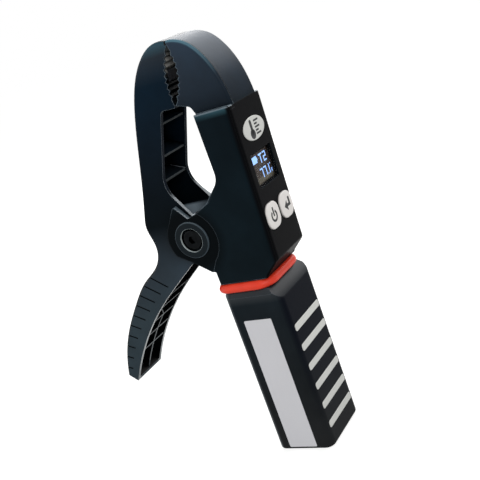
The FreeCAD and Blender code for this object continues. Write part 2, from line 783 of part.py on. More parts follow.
def head_solid():
    ears = []
    for s in (-1, 1):
        near, far = sorted((s * EAR_IN, s * EAR_OUT))
        ears.append(across(ear_outline(), near, far))
        near, far = sorted((s * (EAR_OUT - 1), s * (EAR_OUT + BOSS_PROUD)))
        boss = rod(BOSS_RADIUS, near, far)
        outer = s * (EAR_OUT + BOSS_PROUD)
        boss = round_edges(boss, BOSS_ROUND, lambda e: rim_at(e, outer))
        ears.append(boss)
    body = fuse([pod_block(), fixed_jaw_block()] + ears)
    body = body.cut(across(jaw_space(), -EAR_IN, EAR_IN))
    body = fuse([body, across(hub_wall_outline(), -EAR_IN, EAR_IN),
                 upright(neck_outline(), GRIP_TOP + GAP, POD_BOTTOM + 1),
                 upright(spigot_outline(), SPIGOT_BOTTOM, GRIP_TOP + GAP)])
    hollow = [across(pod_space(STEP_RADIUS + EAR_STEP_WALL), COVER_Y, HALF_POD - WALL),
              across(pod_space(HUB_RADIUS + HUB_CLEAR + WALL), -EAR_IN, EAR_IN),
              across(fixed_jaw_space(), COVER_JAW_Y, JAW_INNER),
              upright(spigot_outline(SPIGOT_WALL), SPIGOT_BOTTOM + SPIGOT_FLOOR, POD_BOTTOM + NECK_FLOOR + 1),
              ring_tube(RING_THICK / 2)]
    for s in (-1, 1):
        near, far = sorted((s * BOSS_FLOOR, s * (HALF_POD + 1)))
        hollow.append(rod(BOSS_RECESS, near, far))
    hollow.append(rod(SCREW_RADIUS, -HALF_POD, HALF_POD))
    hollow += [on_front(cut) for cut in front_cuts()]
    body = body.cut(fuse(hollow))
    return body


def front_cuts():
    """Openings and recesses of the front face, in its own frame."""
    cuts = [badge_solid(BADGE_PROUD + 1)]
    step = WINDOW_SUNK + WINDOW_THICK
    rebate = oblong(WINDOW_WIDTH, WINDOW_HEIGHT, WINDOW_ROUND, 0, WINDOW_UP)
    cuts.append(outward(rebate, -step, 1))
    wide = WINDOW_WIDTH - 2 * WINDOW_LEDGE
    high = WINDOW_HEIGHT - 2 * WINDOW_LEDGE
    inner = oblong(wide, high, WINDOW_ROUND, 0, WINDOW_UP)
    cuts.append(outward(inner, -2 * WALL, 1))
    for s in (-1, 1):
        hole = oblong(BUTTON_WIDTH + 2 * GAP, BUTTON_HEIGHT + 2 * GAP, BUTTON_ROUND + GAP,
                      s * BUTTON_PITCH / 2, BUTTON_UP)
        cuts.append(outward(hole, -2 * WALL, 1))
    return cuts


def badge_solid(proud):
    """Oval plate in the front face's frame, with its face proud of the surface."""
    ellipse = Part.Ellipse(Vector(0, 0, 0), BADGE_WIDTH / 2, BADGE_HEIGHT / 2).toShape()
    ellipse.rotate(Vector(0, 0, 0), Vector(0, 1, 0), 90)
    ellipse.rotate(Vector(0, 0, 0), Vector(1, 0, 0), 90)
    ellipse.translate(Vector(0, 0, BADGE_UP))
    return outward(Part.Wire([ellipse]), BADGE_PROUD - BADGE_THICK, proud)


def front_bosses():
    """Posts behind the front wall that the board is screwed to, in the face's frame."""
    posts = []
    for y, z in board_screw_places():
        post = stud(BOARD_POST_RADIUS, BOARD_FRONT, -WALL / 2, y, z)
        pilot = stud(BOARD_SCREW_RADIUS, BOARD_FRONT, BOARD_FRONT + BOARD_SCREW_LENGTH, y, z)
        posts.append(post.cut(pilot))
    return posts


def board_screw_places():
    return [(s * BOARD_SCREW_ACROSS, t * BOARD_SCREW_UP) for s in (-1, 1) for t in (-1, 1)]


def cover_post(place, plate_y):
    """Post on the near cover that a screw bites into."""
    post = rod(POST_RADIUS, plate_y, POST_MEET_Y, place)
    return post.cut(rod(COVER_SCREW_RADIUS, POST_MEET_Y - COVER_SCREW_BITE, POST_MEET_Y, place))


def shell_tube(place, outer_y):
    """Tube on the far shell that a cover screw passes through, and the cuts for the screw."""
    head_floor = outer_y - COVER_HEAD_DEEP
    body = rod(POST_RADIUS, POST_MEET_Y, outer_y - WALL / 2, place)
    wide = rod(POST_RADIUS + 1.0, head_floor - WALL, outer_y - WALL / 2, place)
    cuts = rod(COVER_SCREW_RADIUS + 0.2, POST_MEET_Y, outer_y, place).fuse(
        rod(COVER_HEAD_RADIUS + 0.2, head_floor, outer_y + 1, place))
    return body.fuse(wide), cuts


def cover_screw(place, outer_y):
    head_floor = outer_y - COVER_HEAD_DEEP
    shank = rod(COVER_SCREW_RADIUS, POST_MEET_Y - COVER_SCREW_BITE + PILOT_SPARE, head_floor, place)
    head = rod(COVER_HEAD_RADIUS, head_floor, head_floor + COVER_HEAD_THICK, place)
    socket = rod(COVER_HEAD_RADIUS * 0.45, head_floor + COVER_HEAD_THICK * 0.4, outer_y, place)
    return shank.fuse(head).cut(socket)


def main_shell_and_cover():
    body = head_solid()
    zone = cover_zone()
    cover = body.common(zone)
    shell = body.cut(zone)
    tubes = []
    cuts = []
    posts = []
    for place in POD_SCREWS + JAW_SCREWS:
        in_jaw = place in JAW_SCREWS
        outer_y = HALF_JAW if in_jaw else HALF_POD
        body_part, cut_part = shell_tube(place, outer_y)
        tubes.append(body_part)
        cuts.append(cut_part)
        posts.append(cover_post(place, COVER_JAW_Y - 0.5 if in_jaw else COVER_Y - 0.5))
    for s in (-1, 1):
        foot = SPIGOT_BOTTOM + SPIGOT_FLOOR / 2
        pilot_top = SPIGOT_BOTTOM + TRAY_SCREW_LENGTH - TRAY_END
        tubes.append(pillar(TRAY_POST_RADIUS, foot, foot + TRAY_POST_HEIGHT, TRAY_SCREW_X, s * TRAY_SCREW_Y))
        cuts.append(pillar(TRAY_SCREW_RADIUS, SPIGOT_BOTTOM, pilot_top, TRAY_SCREW_X, s * TRAY_SCREW_Y))
        cuts.append(pillar(LEAD_HOLE, SPIGOT_BOTTOM, SPIGOT_BOTTOM + SPIGOT_FLOOR, LEAD_HOLE_X, s * CELL_Y))
    tubes += [on_front(post) for post in front_bosses()]
    shell = fuse([shell] + tubes).cut(fuse(cuts)).cut(sensor_cut())
    cover = fuse([cover] + posts)
    return largest(shell), largest(cover)


def largest(shape):
    """The one solid of a shape, without slivers that a cut may leave."""
    return max(shape.Solids, key=lambda solid: solid.Volume)


# Jaw tooth faces carry a pad and a sensor plate half way up

def leaf_frame(bulge, shift):
    """Point on a leaf side's arc at the pad's height, with the directions up it and into the leaf."""
    top, bottom = leaf_side(shift)
    mid, centre, radius = bulge_arc(bottom, top, bulge)
    degrees = math.degrees(math.asin((JAW_TOP - PAD_DOWN - centre[1]) / radius))
    if centre[0] > mid[0]:
        degrees = 180 - degrees
    place = polar(centre, radius, degrees)
    into = ((centre[0] - place[0]) / radius, (centre[1] - place[1]) / radius)
    return place, into


def leaf_block(bulge, shift, depth, proud, height, length, corner_radius=0.0):
    """Flat block set in a tooth face, from depth behind the arc to proud of it."""
    place, into = leaf_frame(bulge, shift)
    shape = Part.makeBox(depth + proud, length, height, Vector(-depth, -length / 2, -height / 2))
    if corner_radius:
        shape = round_edges(shape, corner_radius, lambda e: abs(e.Vertexes[0].X - proud) < 1e-6
                            and abs(e.Vertexes[-1].X - proud) < 1e-6)
    turn = math.degrees(math.atan2(-into[1], into[0]))
    shape.Placement = Placement(side(place), Rotation(Vector(0, 1, 0), turn))
    return shape


def sensor_plate():
    plate = leaf_block(-LEAF_BULGE_FIXED, SEAM / 2, SENSOR_DEEP, SENSOR_PROUD, SENSOR_HEIGHT,
                       SENSOR_LENGTH, PAD_EDGE)
    return fuse([plate, sensor_cup(SENSOR_CUP_RADIUS)])


def sensor_cup(radius):
    """Cup behind the sensor plate that holds the bead."""
    place, into = leaf_frame(-LEAF_BULGE_FIXED, SEAM / 2)
    back = side(place) + Vector(-into[0], 0, -into[1]) * (SENSOR_DEEP - 0.2)
    return Part.makeCylinder(radius, SENSOR_CUP_LONG, back, Vector(-into[0], 0, -into[1]))


def sensor_cut():
    pocket = leaf_block(-LEAF_BULGE_FIXED, SEAM / 2, SENSOR_DEEP, TOOTH_HEIGHT + 1, SENSOR_HEIGHT,
                        SENSOR_LENGTH)
    return fuse([pocket, sensor_cup(SENSOR_CUP_RADIUS)])


def sensor_lead():
    place, into = leaf_frame(-LEAF_BULGE_FIXED, SEAM / 2)
    out = Vector(-into[0], 0, -into[1])
    start = side(place) + out * (SENSOR_DEEP - 0.2 + SENSOR_CUP_LONG)
    socket = on_front_point(BOARD_BACK - SOCKET_DEEP / 2, LEAD_SOCKET_Y, LEAD_SOCKET_UP + SOCKET_HEIGHT)
    points = [start, start + out * 5.0, Vector(15.6, 2.0, 201.0), Vector(16.4, 4.0, 192.0),
              socket + Vector(0.6, 0, 6.5), socket]
    edges, radii = route(points)
    print("sensor lead radii", [round(r, 1) for r in radii])
    return tube(edges, LEAD_THICK / 2)


def on_front_point(out, across_y, up):
    return Placement(Vector(front_x(FACE_Z), 0, FACE_Z), Rotation(Vector(0, 1, 0), FRONT_TILT)).multVec(
        Vector(out, across_y, up))


# Moving jaw and lever

def moving_jaw_outer():
    """Back of the jaw from its tip, past the pivot, down to the end of the lever."""
    return spline([(TIP_X - SEAM / 2, JAW_TOP), (-11.2, JAW_TOP - 0.3), (-19.9, JAW_TOP - 6.1),
                   (-32.6, JAW_TOP - 26.3), (-43.0, 172.5), (-52.6, 145.2),
                   (-54.5, 138.5), (-53.0, 127.0), (-56.7, 117.0), (-69.6, 107.4), (-82.2, 95.2),
                   (-96.2, 77.9), LEVER_END_BACK])


def lever_inner():
    """Open edge of the lever from its end up towards the hub."""
    return spline([LEVER_END_FRONT, (-88.5, 67.3), (-66.8, 89.3), (-40.1, 108.8), (-33.5, 113.3)])


def moving_jaw_outline(outer, inner):
    top, bottom = leaf_side(-SEAM / 2)
    hub_low = polar(PIVOT, HUB_RADIUS, -100)
    hub_high = polar(PIVOT, HUB_RADIUS, SHROUD_HIGH)
    a1, e1, b1 = corner(hub_high, CHANNEL_LOW, CHANNEL_HIGH, 14.0)
    a2, e2, b2 = corner(CHANNEL_LOW, CHANNEL_HIGH, CHANNEL_LIP, 3.0)
    edges = [outer.toShape()]
    edges += run([LEVER_END_BACK, LEVER_END_FRONT])
    edges += [inner.toShape()]
    edges += run([(-33.5, 113.3), hub_low])
    edges += [arc(hub_low, polar(PIVOT, HUB_RADIUS, -10), hub_high)]
    edges += run([hub_high, a1])
    edges += [e1]
    edges += run([b1, a2])
    edges += [e2]
    edges += run([b2, CHANNEL_LIP, bottom])
    edges += run(toothed(bottom, top, LEAF_BULGE_MOVING))
    edges += run([top, (outer.StartPoint.x, outer.StartPoint.z)])
    return Part.Wire(Part.__sortEdges__(edges))


def jaw_void_outline(outer):
    """Side outline of the channel between the jaw's two walls, open towards the pipe."""
    beside = inset(outer, JAW_WEB, 60)
    end_x = LEVER_END_BACK[0] + 2.9
    beside = [p for p in beside if p[1] < JAW_TOP - 6.9 and not (p[0] < end_x and p[1] < 60)]
    beside = beside[::3] + ([] if (len(beside) - 1) % 3 == 0 else [beside[-1]])
    top, bottom = leaf_side(-SEAM / 2)
    mid, centre, radius = bulge_arc(bottom, top, LEAF_BULGE_MOVING)
    first = math.degrees(math.atan2(bottom[1] - centre[1], bottom[0] - centre[0])) % 360
    last = math.degrees(math.atan2(top[1] - centre[1], top[0] - centre[0])) % 360
    low = polar(centre, radius + TOOTH_WALL, first)
    half = polar(centre, radius + TOOTH_WALL, (first + last) / 2)
    high = polar(centre, radius + TOOTH_WALL, last + (first - last) * 0.2)
    edges = [spline(beside).toShape()]
    floor_z = low[1] - 3.0
    edges += run([beside[-1], (-101.0, 46.0), (-96.0, 40.0), (0.0, 105.0), (0.0, floor_z),
                  (low[0], floor_z), low])
    edges += [arc(low, half, high)]
    edges += run([high, beside[0]])
    return Part.Wire(Part.__sortEdges__(edges))


def slab(place, way, thick):
    """Wide thin plate through a side point, along a direction, as thick as thick."""
    plate = Part.makeBox(60, JAW_WIDTH, thick, Vector(-30, -HALF_JAW, -thick / 2))
    turn = -math.degrees(math.atan2(way[1], way[0]))
    plate.Placement = Placement(side(place), Rotation(Vector(0, 1, 0), turn))
    return plate


def jaw_ribs(outline, void, inner):
    """Cross ribs up the channel and down the lever, and the lever's long rib."""
    ribs = []
    run_x = CHANNEL_HIGH[0] - CHANNEL_LOW[0]
    run_z = CHANNEL_HIGH[1] - CHANNEL_LOW[1]
    long = math.hypot(run_x, run_z)
    open_way = (run_z / long, -run_x / long)
    kept = across(outline, -JAW_INNER, JAW_INNER)
    trimmed = void.common(kept)
    upper = kept.copy()
    upper.translate(Vector(-open_way[0], 0, -open_way[1]) * RIB_BELOW)
    upper = trimmed.common(upper)
    for distance in CHANNEL_RIBS:
        place = (CHANNEL_LOW[0] + run_x * distance / long, CHANNEL_LOW[1] + run_z * distance / long)
        ribs.append(slab(place, open_way, RIB_THICK).common(upper))
    low = inner.FirstParameter
    total = inner.length()
    way = inner.tangent(inner.parameterAtDistance(total / 3, low))[0]
    lower = kept.copy()
    lower.translate(Vector(-way[2], 0, way[0]) * RIB_BELOW)
    lower = trimmed.common(lower)
    for i in range(LEVER_RIB_COUNT):
        t = inner.parameterAtDistance(LEVER_RIB_FIRST + i * LEVER_RIB_PITCH, low)
        here = inner.value(t)
        way = inner.tangent(t)[0]
        ribs.append(slab((here.x, here.z), (way[2], -way[0]), RIB_THICK).common(lower))
    end = inner.value(inner.parameterAtDistance(LEVER_RIB_FIRST + 2 * LEVER_RIB_PITCH, low))
    ribs.append(block(-120, end.x, -RIB_THICK / 2, RIB_THICK / 2, 30, end.z + 12).common(lower))
    return ribs


def grip_grooves(outer):
    """Shallow grooves across the lever's back and part way down both sides."""
    cuts = []
    first = outer.parameter(side(GROOVE_START))
    for i in range(GROOVE_COUNT):
        t = outer.parameterAtDistance(i * GROOVE_PITCH, first)
        share = i / (GROOVE_COUNT - 1)
        long = GROOVE_LONG + (GROOVE_SHORT - GROOVE_LONG) * share
        degrees = GROOVE_TILT + (GROOVE_TILT_END - GROOVE_TILT) * share
        strips = [Part.makeBox(GROOVE_DEEP + 3, JAW_WIDTH + 2, GROOVE_WIDE,
                               Vector(-3, -HALF_JAW - 1, -GROOVE_WIDE / 2))]
        for s in (-1, 1):
            start = min(s * (HALF_JAW - GROOVE_DEEP), s * (HALF_JAW + 1))
            strips.append(Part.makeBox(long + 3, GROOVE_DEEP + 1, GROOVE_WIDE,
                                       Vector(-3, start, -GROOVE_WIDE / 2)))
        groove = fuse(strips)
        groove.Placement = Placement(outer.value(t), Rotation(Vector(0, 1, 0), -degrees))
        cuts.append(groove)
    return cuts


def moving_jaw():
    outer = moving_jaw_outer()
    inner = lever_inner()
    outline = moving_jaw_outline(outer, inner)
    body = across(outline, -HALF_JAW, HALF_JAW)
    length = outer.length()
    body = round_edges(body, JAW_EDGE_ROUND, lambda e: in_side_plane(e, HALF_JAW) and e.Length > length * 0.9)
    void = across(jaw_void_outline(outer), -JAW_INNER, JAW_INNER)
    ribs = jaw_ribs(outline, void, inner)
    body = body.cut(void)
    tubes = []
    for s in (-1, 1):
        near, far = sorted((s * HUB_TUBE_END, s * (JAW_INNER + 0.5)))
        tubes.append(rod(HUB_TUBE_RADIUS, near, far))
    shroud = rod(HUB_RADIUS, -JAW_INNER, JAW_INNER).cut(rod(HUB_RADIUS - SHROUD_THICK, -JAW_WIDTH, JAW_WIDTH))
    sector = Part.makeCylinder(HUB_RADIUS + 1, JAW_WIDTH, side(PIVOT, HALF_JAW), Vector(0, -1, 0),
                               SHROUD_HIGH - SHROUD_LOW)
    sector.rotate(side(PIVOT), Vector(0, 1, 0), -90 - SHROUD_LOW)
    shroud = shroud.common(sector)
    body = fuse([body, shroud] + tubes + ribs)
    body = body.cut(fuse([rod(BARREL_RADIUS + RUN, -HALF_JAW - 1, HALF_JAW + 1)] + grip_grooves(outer)))
    pocket = leaf_block(LEAF_BULGE_MOVING, -SEAM / 2, PAD_DEEP, TOOTH_HEIGHT + 1, PAD_HEIGHT, PAD_LENGTH)
    return largest(body.cut(pocket))


def jaw_pad():
    return leaf_block(LEAF_BULGE_MOVING, -SEAM / 2, PAD_DEEP, PAD_PROUD, PAD_HEIGHT, PAD_LENGTH, PAD_EDGE)


# Pivot and closing spring

def pivot_screw():
    shank = rod(SCREW_RADIUS, -BOSS_FLOOR, BOSS_FLOOR + NUT_THICK + 0.4)
    head = rod(SCREW_HEAD_RADIUS, -BOSS_FLOOR - SCREW_HEAD_THICK, -BOSS_FLOOR)
    rim = -BOSS_FLOOR - SCREW_HEAD_THICK
    head = round_edges(head, SCREW_HEAD_EDGE, lambda e: rim_at(e, rim))
    return fuse([head, shank]).cut(hexagon(SCREW_SOCKET, rim - 0.1, rim + SCREW_HEAD_THICK * 0.7))


def hexagon(flats, y0, y1):
    corner_radius = flats / math.sqrt(3)
    points = [polar(PIVOT, corner_radius, 60 * i) for i in range(6)]
    return across(Part.Wire(run(points + points[:1])), y0, y1)


def pivot_nut():
    nut = hexagon(NUT_FLATS, BOSS_FLOOR, BOSS_FLOOR + NUT_THICK)
    return nut.cut(rod(SCREW_RADIUS, BOSS_FLOOR - 1, BOSS_FLOOR + NUT_THICK + 1))


def pivot_barrel():
    return rod(BARREL_RADIUS, -EAR_IN, EAR_IN).cut(rod(SCREW_RADIUS, -EAR_IN - 1, EAR_IN + 1))


def coil(centre, radius, start_angle, end_angle, start_y, pitch, steps):
    """Edges of a helix about Y, as two tangent arcs for each step, with its points."""
    edges = []
    points = []
    for i in range(steps):
        a = start_angle + (end_angle - start_angle) * i / steps
        b = start_angle + (end_angle - start_angle) * (i + 1) / steps
        p0 = helix_point(centre, radius, a, start_angle, start_y, pitch)
        p1 = helix_point(centre, radius, b, start_angle, start_y, pitch)
        points.append(p0)
        edges += biarc(p0, helix_way(radius, a, pitch), p1, helix_way(radius, b, pitch))
    points.append(p1)
    return edges, points


def torsion_spring():
    """Coil about the barrel with one leg down the head's wall and one along the lever."""
    turn_end = 360 * COIL_TURNS + (LEG_ANGLE - 90)
    rise = COIL_PITCH * turn_end / 360
    steps = COIL_TURNS * 4 + 1
    edges, points = coil(PIVOT, COIL_RADIUS, 0, turn_end, -rise / 2, COIL_PITCH, steps)
    first_way = helix_way(COIL_RADIUS, 0, COIL_PITCH)
    last_way = helix_way(COIL_RADIUS, turn_end, COIL_PITCH)
    leg_start = points[0] - first_way * FIXED_LEG_LENGTH
    leg_end = points[-1] + last_way * LEG_LENGTH
    path = [Part.makeLine(leg_start, points[0])] + edges + [Part.makeLine(points[-1], leg_end)]
    dense = [helix_point(PIVOT, COIL_RADIUS, a, 0, -rise / 2, COIL_PITCH)
             for a in range(0, int(turn_end), 15)]
    print("torsion spring least gap to itself %.2f" % self_gap(dense, WIRE, 12))
    return tube(path, WIRE / 2)


# Grip sleeve with its strips and panel

def grip_outline(inside=0.0):
    d = GRIP_DEPTH / 2 - inside
    w = GRIP_WIDTH / 2 - inside
    f = GRIP_FRONT_CORNER - inside
    b = GRIP_BACK_CORNER - inside
    return rounded([(-d, -w, b), (d, -w, f), (d, w, f), (-d, w, b)], plan)


def stripe(i, deep, proud):
    """One strip across the grip's front, from deep behind the surface to proud of it."""
    z = STRIPE_FIRST_Z - i * STRIPE_PITCH
    outline = oblong(STRIPE_LENGTH, STRIPE_WIDTH, STRIPE_ROUND, 0, z)
    return outward(outline, GRIP_DEPTH / 2 - deep, GRIP_DEPTH / 2 + proud)


def label_plate(proud):
    low = GRIP_BASE_ROUND + LABEL_LOW
    wide = oblong_side(LABEL_BACK_X, LABEL_BACK_X + LABEL_WIDTH, low, LABEL_TOP_Z, LABEL_ROUND)
    return across(wide, -GRIP_WIDTH / 2 - proud, -GRIP_WIDTH / 2 + LABEL_THICK)


def oblong_side(x0, x1, z0, z1, corner_radius):
    return rounded([(x0, z0, corner_radius), (x1, z0, corner_radius),
                    (x1, z1, corner_radius), (x0, z1, corner_radius)])


def handle_shell():
    body = upright(grip_outline(), 0, GRIP_TOP)
    body = round_edges(body, GRIP_BASE_ROUND, lambda e: all(abs(v.Z) < 1e-6 for v in e.Vertexes))
    d = GRIP_DEPTH / 2
    beyond = GRIP_TOP + 5
    run_out = GRIP_BEVEL_IN * (beyond - GRIP_BEVEL_Z) / (GRIP_TOP - GRIP_BEVEL_Z)
    back_out = GRIP_BACK_BEVEL_IN * (beyond - GRIP_BACK_BEVEL_Z) / (GRIP_TOP - GRIP_BACK_BEVEL_Z)
    front = Part.Wire(run([(d, GRIP_BEVEL_Z), (d - run_out, beyond), (d + 5, beyond), (d + 5, GRIP_BEVEL_Z),
                           (d, GRIP_BEVEL_Z)]))
    back = Part.Wire(run([(-d, GRIP_BACK_BEVEL_Z), (-d + back_out, beyond), (-d - 5, beyond),
                          (-d - 5, GRIP_BACK_BEVEL_Z), (-d, GRIP_BACK_BEVEL_Z)]))
    slopes = [across(front, -GRIP_WIDTH, GRIP_WIDTH), across(back, -GRIP_WIDTH, GRIP_WIDTH)]
    w = GRIP_WIDTH / 2
    side_out = GRIP_SIDE_BEVEL_IN * (beyond - GRIP_SIDE_BEVEL_Z) / (GRIP_TOP - GRIP_SIDE_BEVEL_Z)
    for s in (-1, 1):
        flank = [(s * w, GRIP_SIDE_BEVEL_Z), (s * (w - side_out), beyond), (s * (w + 5), beyond),
                 (s * (w + 5), GRIP_SIDE_BEVEL_Z), (s * w, GRIP_SIDE_BEVEL_Z)]
        slopes.append(outward(Part.makePolygon([elevation(p) for p in flank]), -GRIP_DEPTH, GRIP_DEPTH))
    body = body.cut(fuse(slopes))
    inner = upright(grip_outline(GRIP_WALL), GRIP_WALL, GRIP_TOP - WALL)
    shoulder_z = GRIP_BEVEL_Z - 1.5
    drop = (GRIP_TOP - WALL - shoulder_z) * GRIP_BEVEL_IN / (GRIP_TOP - GRIP_BEVEL_Z)
    inside = d - GRIP_WALL
    roof_z = GRIP_TOP - WALL
    profile = Part.Wire(run([(-inside, GRIP_WALL), (inside, GRIP_WALL), (inside, shoulder_z),
                             (inside - drop, roof_z), (1.2 - inside, roof_z),
                             (-inside, GRIP_BACK_BEVEL_Z - 1.0), (-inside, GRIP_WALL)]))
    inner = inner.common(across(profile, -GRIP_WIDTH, GRIP_WIDTH))
    mouth = upright(spigot_outline(-GAP), GRIP_TOP - 2 * WALL, GRIP_TOP + 1)
    cuts = [inner, mouth, label_plate(1.0)] + [stripe(i, STRIPE_DEEP, 1.0) for i in range(STRIPE_COUNT)]
    for cut in cuts:
        body = body.cut(cut)
    return body


def grip_stripes():
    strips = []
    for i in range(STRIPE_COUNT):
        strip = stripe(i, STRIPE_DEEP, STRIPE_PROUD)
        face_x = GRIP_DEPTH / 2 + STRIPE_PROUD
        strips.append(round_edges(strip, STRIPE_EDGE, lambda e: facing_front(e, face_x)))
    return Part.makeCompound(strips)


# Front pieces, in the face's frame

def display_window():
    outline = oblong(WINDOW_WIDTH, WINDOW_HEIGHT, WINDOW_ROUND, 0, WINDOW_UP)
    return on_front(outward(outline, -WINDOW_SUNK - WINDOW_THICK, -WINDOW_SUNK))


def badge_plate():
    plate = badge_solid(BADGE_PROUD)
    plate = round_edges(plate, BADGE_EDGE, lambda e: facing_front(e, BADGE_PROUD))
    return on_front(plate)


def button(s):
    """Cap with a flange behind the wall; s is -1 for the near one."""
    y = s * BUTTON_PITCH / 2
    cap = outward(oblong(BUTTON_WIDTH, BUTTON_HEIGHT, BUTTON_ROUND, y, BUTTON_UP),
                  BEHIND_WALL - BUTTON_FLANGE_THICK, BUTTON_PROUD)
    cap = round_edges(cap, BUTTON_EDGE, lambda e: facing_front(e, BUTTON_PROUD))
    flange = outward(oblong(BUTTON_WIDTH + 2 * BUTTON_FLANGE, BUTTON_HEIGHT + 2 * BUTTON_FLANGE,
                            BUTTON_ROUND + BUTTON_FLANGE, y, BUTTON_UP),
                     BEHIND_WALL - BUTTON_FLANGE_THICK, BEHIND_WALL)
    return on_front(cap.fuse(flange).removeSplitter())


def oled_module():
    glass_back = BEHIND_WALL - DISPLAY_GLASS
    glass = outward(oblong(DISPLAY_WIDTH, DISPLAY_HEIGHT, DISPLAY_ROUND, 0, WINDOW_UP),
                    glass_back, BEHIND_WALL)
    carrier = outward(oblong(DISPLAY_WIDTH - 2 * DISPLAY_LEDGE, DISPLAY_HEIGHT - 2 * DISPLAY_LEDGE,
                             DISPLAY_ROUND, 0, WINDOW_UP), BOARD_FRONT, glass_back)
    return on_front(fuse([glass, carrier]))


def circuit_board():
    board = outward(oblong(BOARD_WIDTH, BOARD_HEIGHT, BOARD_ROUND), BOARD_BACK, BOARD_FRONT)
    holes = [stud(BOARD_SCREW_RADIUS, BOARD_BACK, BOARD_FRONT, y, z) for y, z in board_screw_places()]
    sockets = [outward(oblong(SOCKET_WIDTH, SOCKET_HEIGHT, SOCKET_ROUND, y, z + SOCKET_HEIGHT / 2),
                       BOARD_BACK - SOCKET_DEEP, BOARD_BACK)
               for y, z in ((LEAD_SOCKET_Y, LEAD_SOCKET_UP), (0, POWER_SOCKET_UP))]
    return on_front(fuse([board.cut(fuse(holes))] + sockets))


def board_screws():
    screws = []
    for y, z in board_screw_places():
        shank = stud(BOARD_SCREW_RADIUS, BOARD_BACK, BOARD_FRONT + BOARD_SCREW_LENGTH - PILOT_SPARE, y, z)
        head = stud(BOARD_HEAD_RADIUS, BOARD_BACK - BOARD_HEAD_THICK, BOARD_BACK, y, z)
        screws.append(on_front(fuse([shank, head])))
    return Part.makeCompound(screws)


def radio_module():
    can = oblong(RADIO_WIDTH, RADIO_HEIGHT, RADIO_ROUND, 0, RADIO_UP)
    return on_front(outward(can, BOARD_BACK - RADIO_THICK, BOARD_BACK))


def key_switches():
    switches = []
    for s in (-1, 1):
        y = s * BUTTON_PITCH / 2
        case = outward(oblong(SWITCH_SIZE, SWITCH_SIZE, SWITCH_ROUND, y, BUTTON_UP),
                       BOARD_FRONT, BOARD_FRONT + SWITCH_CASE)
        plunger = stud(SWITCH_PLUNGER_RADIUS, BOARD_FRONT, BOARD_FRONT + SWITCH_PLUNGER, y, BUTTON_UP)
        switches.append(on_front(fuse([case, plunger])))
    return Part.makeCompound(switches)


# Cells and their carrier, fixed under the spigot

def battery_tray():
    low = SPIGOT_BOTTOM - TRAY_HEIGHT
    body = upright(spigot_outline(), low, SPIGOT_BOTTOM)
    bay_low = low + TRAY_END
    bay_high = SPIGOT_BOTTOM - TRAY_END
    cuts = []
    for s in (-1, 1):
        cuts.append(pillar(CELL_RADIUS + CELL_ROOM, bay_low, bay_high, CELL_X, s * CELL_Y))
        cuts.append(pillar(LEAD_HOLE, bay_high, SPIGOT_BOTTOM, LEAD_HOLE_X, s * CELL_Y))
        cuts.append(pillar(TRAY_SCREW_RADIUS, bay_high, SPIGOT_BOTTOM, TRAY_SCREW_X, s * TRAY_SCREW_Y))
    half = CELL_Y + CELL_RADIUS + CELL_ROOM
    cuts.append(block(CELL_X, NECK_FRONT + 1, -half, half, bay_low, bay_high))
    cuts.append(block(CELL_X + TRAY_SIDE_REACH, NECK_FRONT + 1, -NECK_WIDTH, NECK_WIDTH, bay_low, bay_high))
    back = CELL_X - CONTACT_PLATE / 2 - CELL_ROOM
    cuts.append(block(back, CELL_X, -CELL_Y, CELL_Y, bay_low, bay_high))
    return largest(body.cut(fuse(cuts)))


def battery(s):
    """One AA cell; the near one stands with its terminal up, the far one with it down."""
    low = SPIGOT_BOTTOM - TRAY_HEIGHT + TRAY_END + CONTACT_THICK
    up = s < 0
    can_low = low + (CONTACT_SPRING if up else CELL_NUB)
    can = pillar(CELL_RADIUS, can_low, can_low + CELL_LENGTH, CELL_X, s * CELL_Y)
    can = round_edges(can, CELL_EDGE, lambda e: len(e.Vertexes) == 1)
    nub_z = can_low + CELL_LENGTH if up else can_low - CELL_NUB
    nub = pillar(CELL_NUB_RADIUS, nub_z, nub_z + CELL_NUB, CELL_X, s * CELL_Y)
    return fuse([can, nub])


def contact_springs():
    low = SPIGOT_BOTTOM - TRAY_HEIGHT + TRAY_END + CONTACT_THICK
    high = SPIGOT_BOTTOM - TRAY_END - CONTACT_THICK - CONTACT_SPRING
    springs = []
    turns = CONTACT_TURNS
    rise = CONTACT_SPRING - CONTACT_WIRE
    for s, base in ((-1, low), (1, high)):
        edges, points = coil((0, 0), CONTACT_COIL, 0, 360 * turns, 0, rise / turns, turns * 4)
        spring = tube(edges, CONTACT_WIRE / 2)
        foot = Vector(CELL_X, s * CELL_Y, base + CONTACT_WIRE / 2)
        spring.Placement = Placement(foot, Rotation(Vector(1, 0, 0), 90))
        springs.append(spring)
    dense = [helix_point((0, 0), CONTACT_COIL, a, 0, 0, rise / turns) for a in range(0, 360 * turns, 15)]
    print("contact spring least gap to itself %.2f" % self_gap(dense, CONTACT_WIRE, 12))
    return Part.makeCompound(springs)


def contact_plates():
    low = SPIGOT_BOTTOM - TRAY_HEIGHT + TRAY_END
    high = SPIGOT_BOTTOM - TRAY_END - CONTACT_THICK
    x0 = CELL_X - CONTACT_PLATE / 2
    x1 = CELL_X + CONTACT_PLATE / 2
    end = CELL_Y + CONTACT_PLATE / 2
    start = CELL_Y - CONTACT_PLATE / 2
    return Part.makeCompound([block(x0, x1, -end, end, low, low + CONTACT_THICK),
                              block(x0, x1, -end, -start, high, high + CONTACT_THICK),
                              block(x0, x1, start, end, high, high + CONTACT_THICK)])


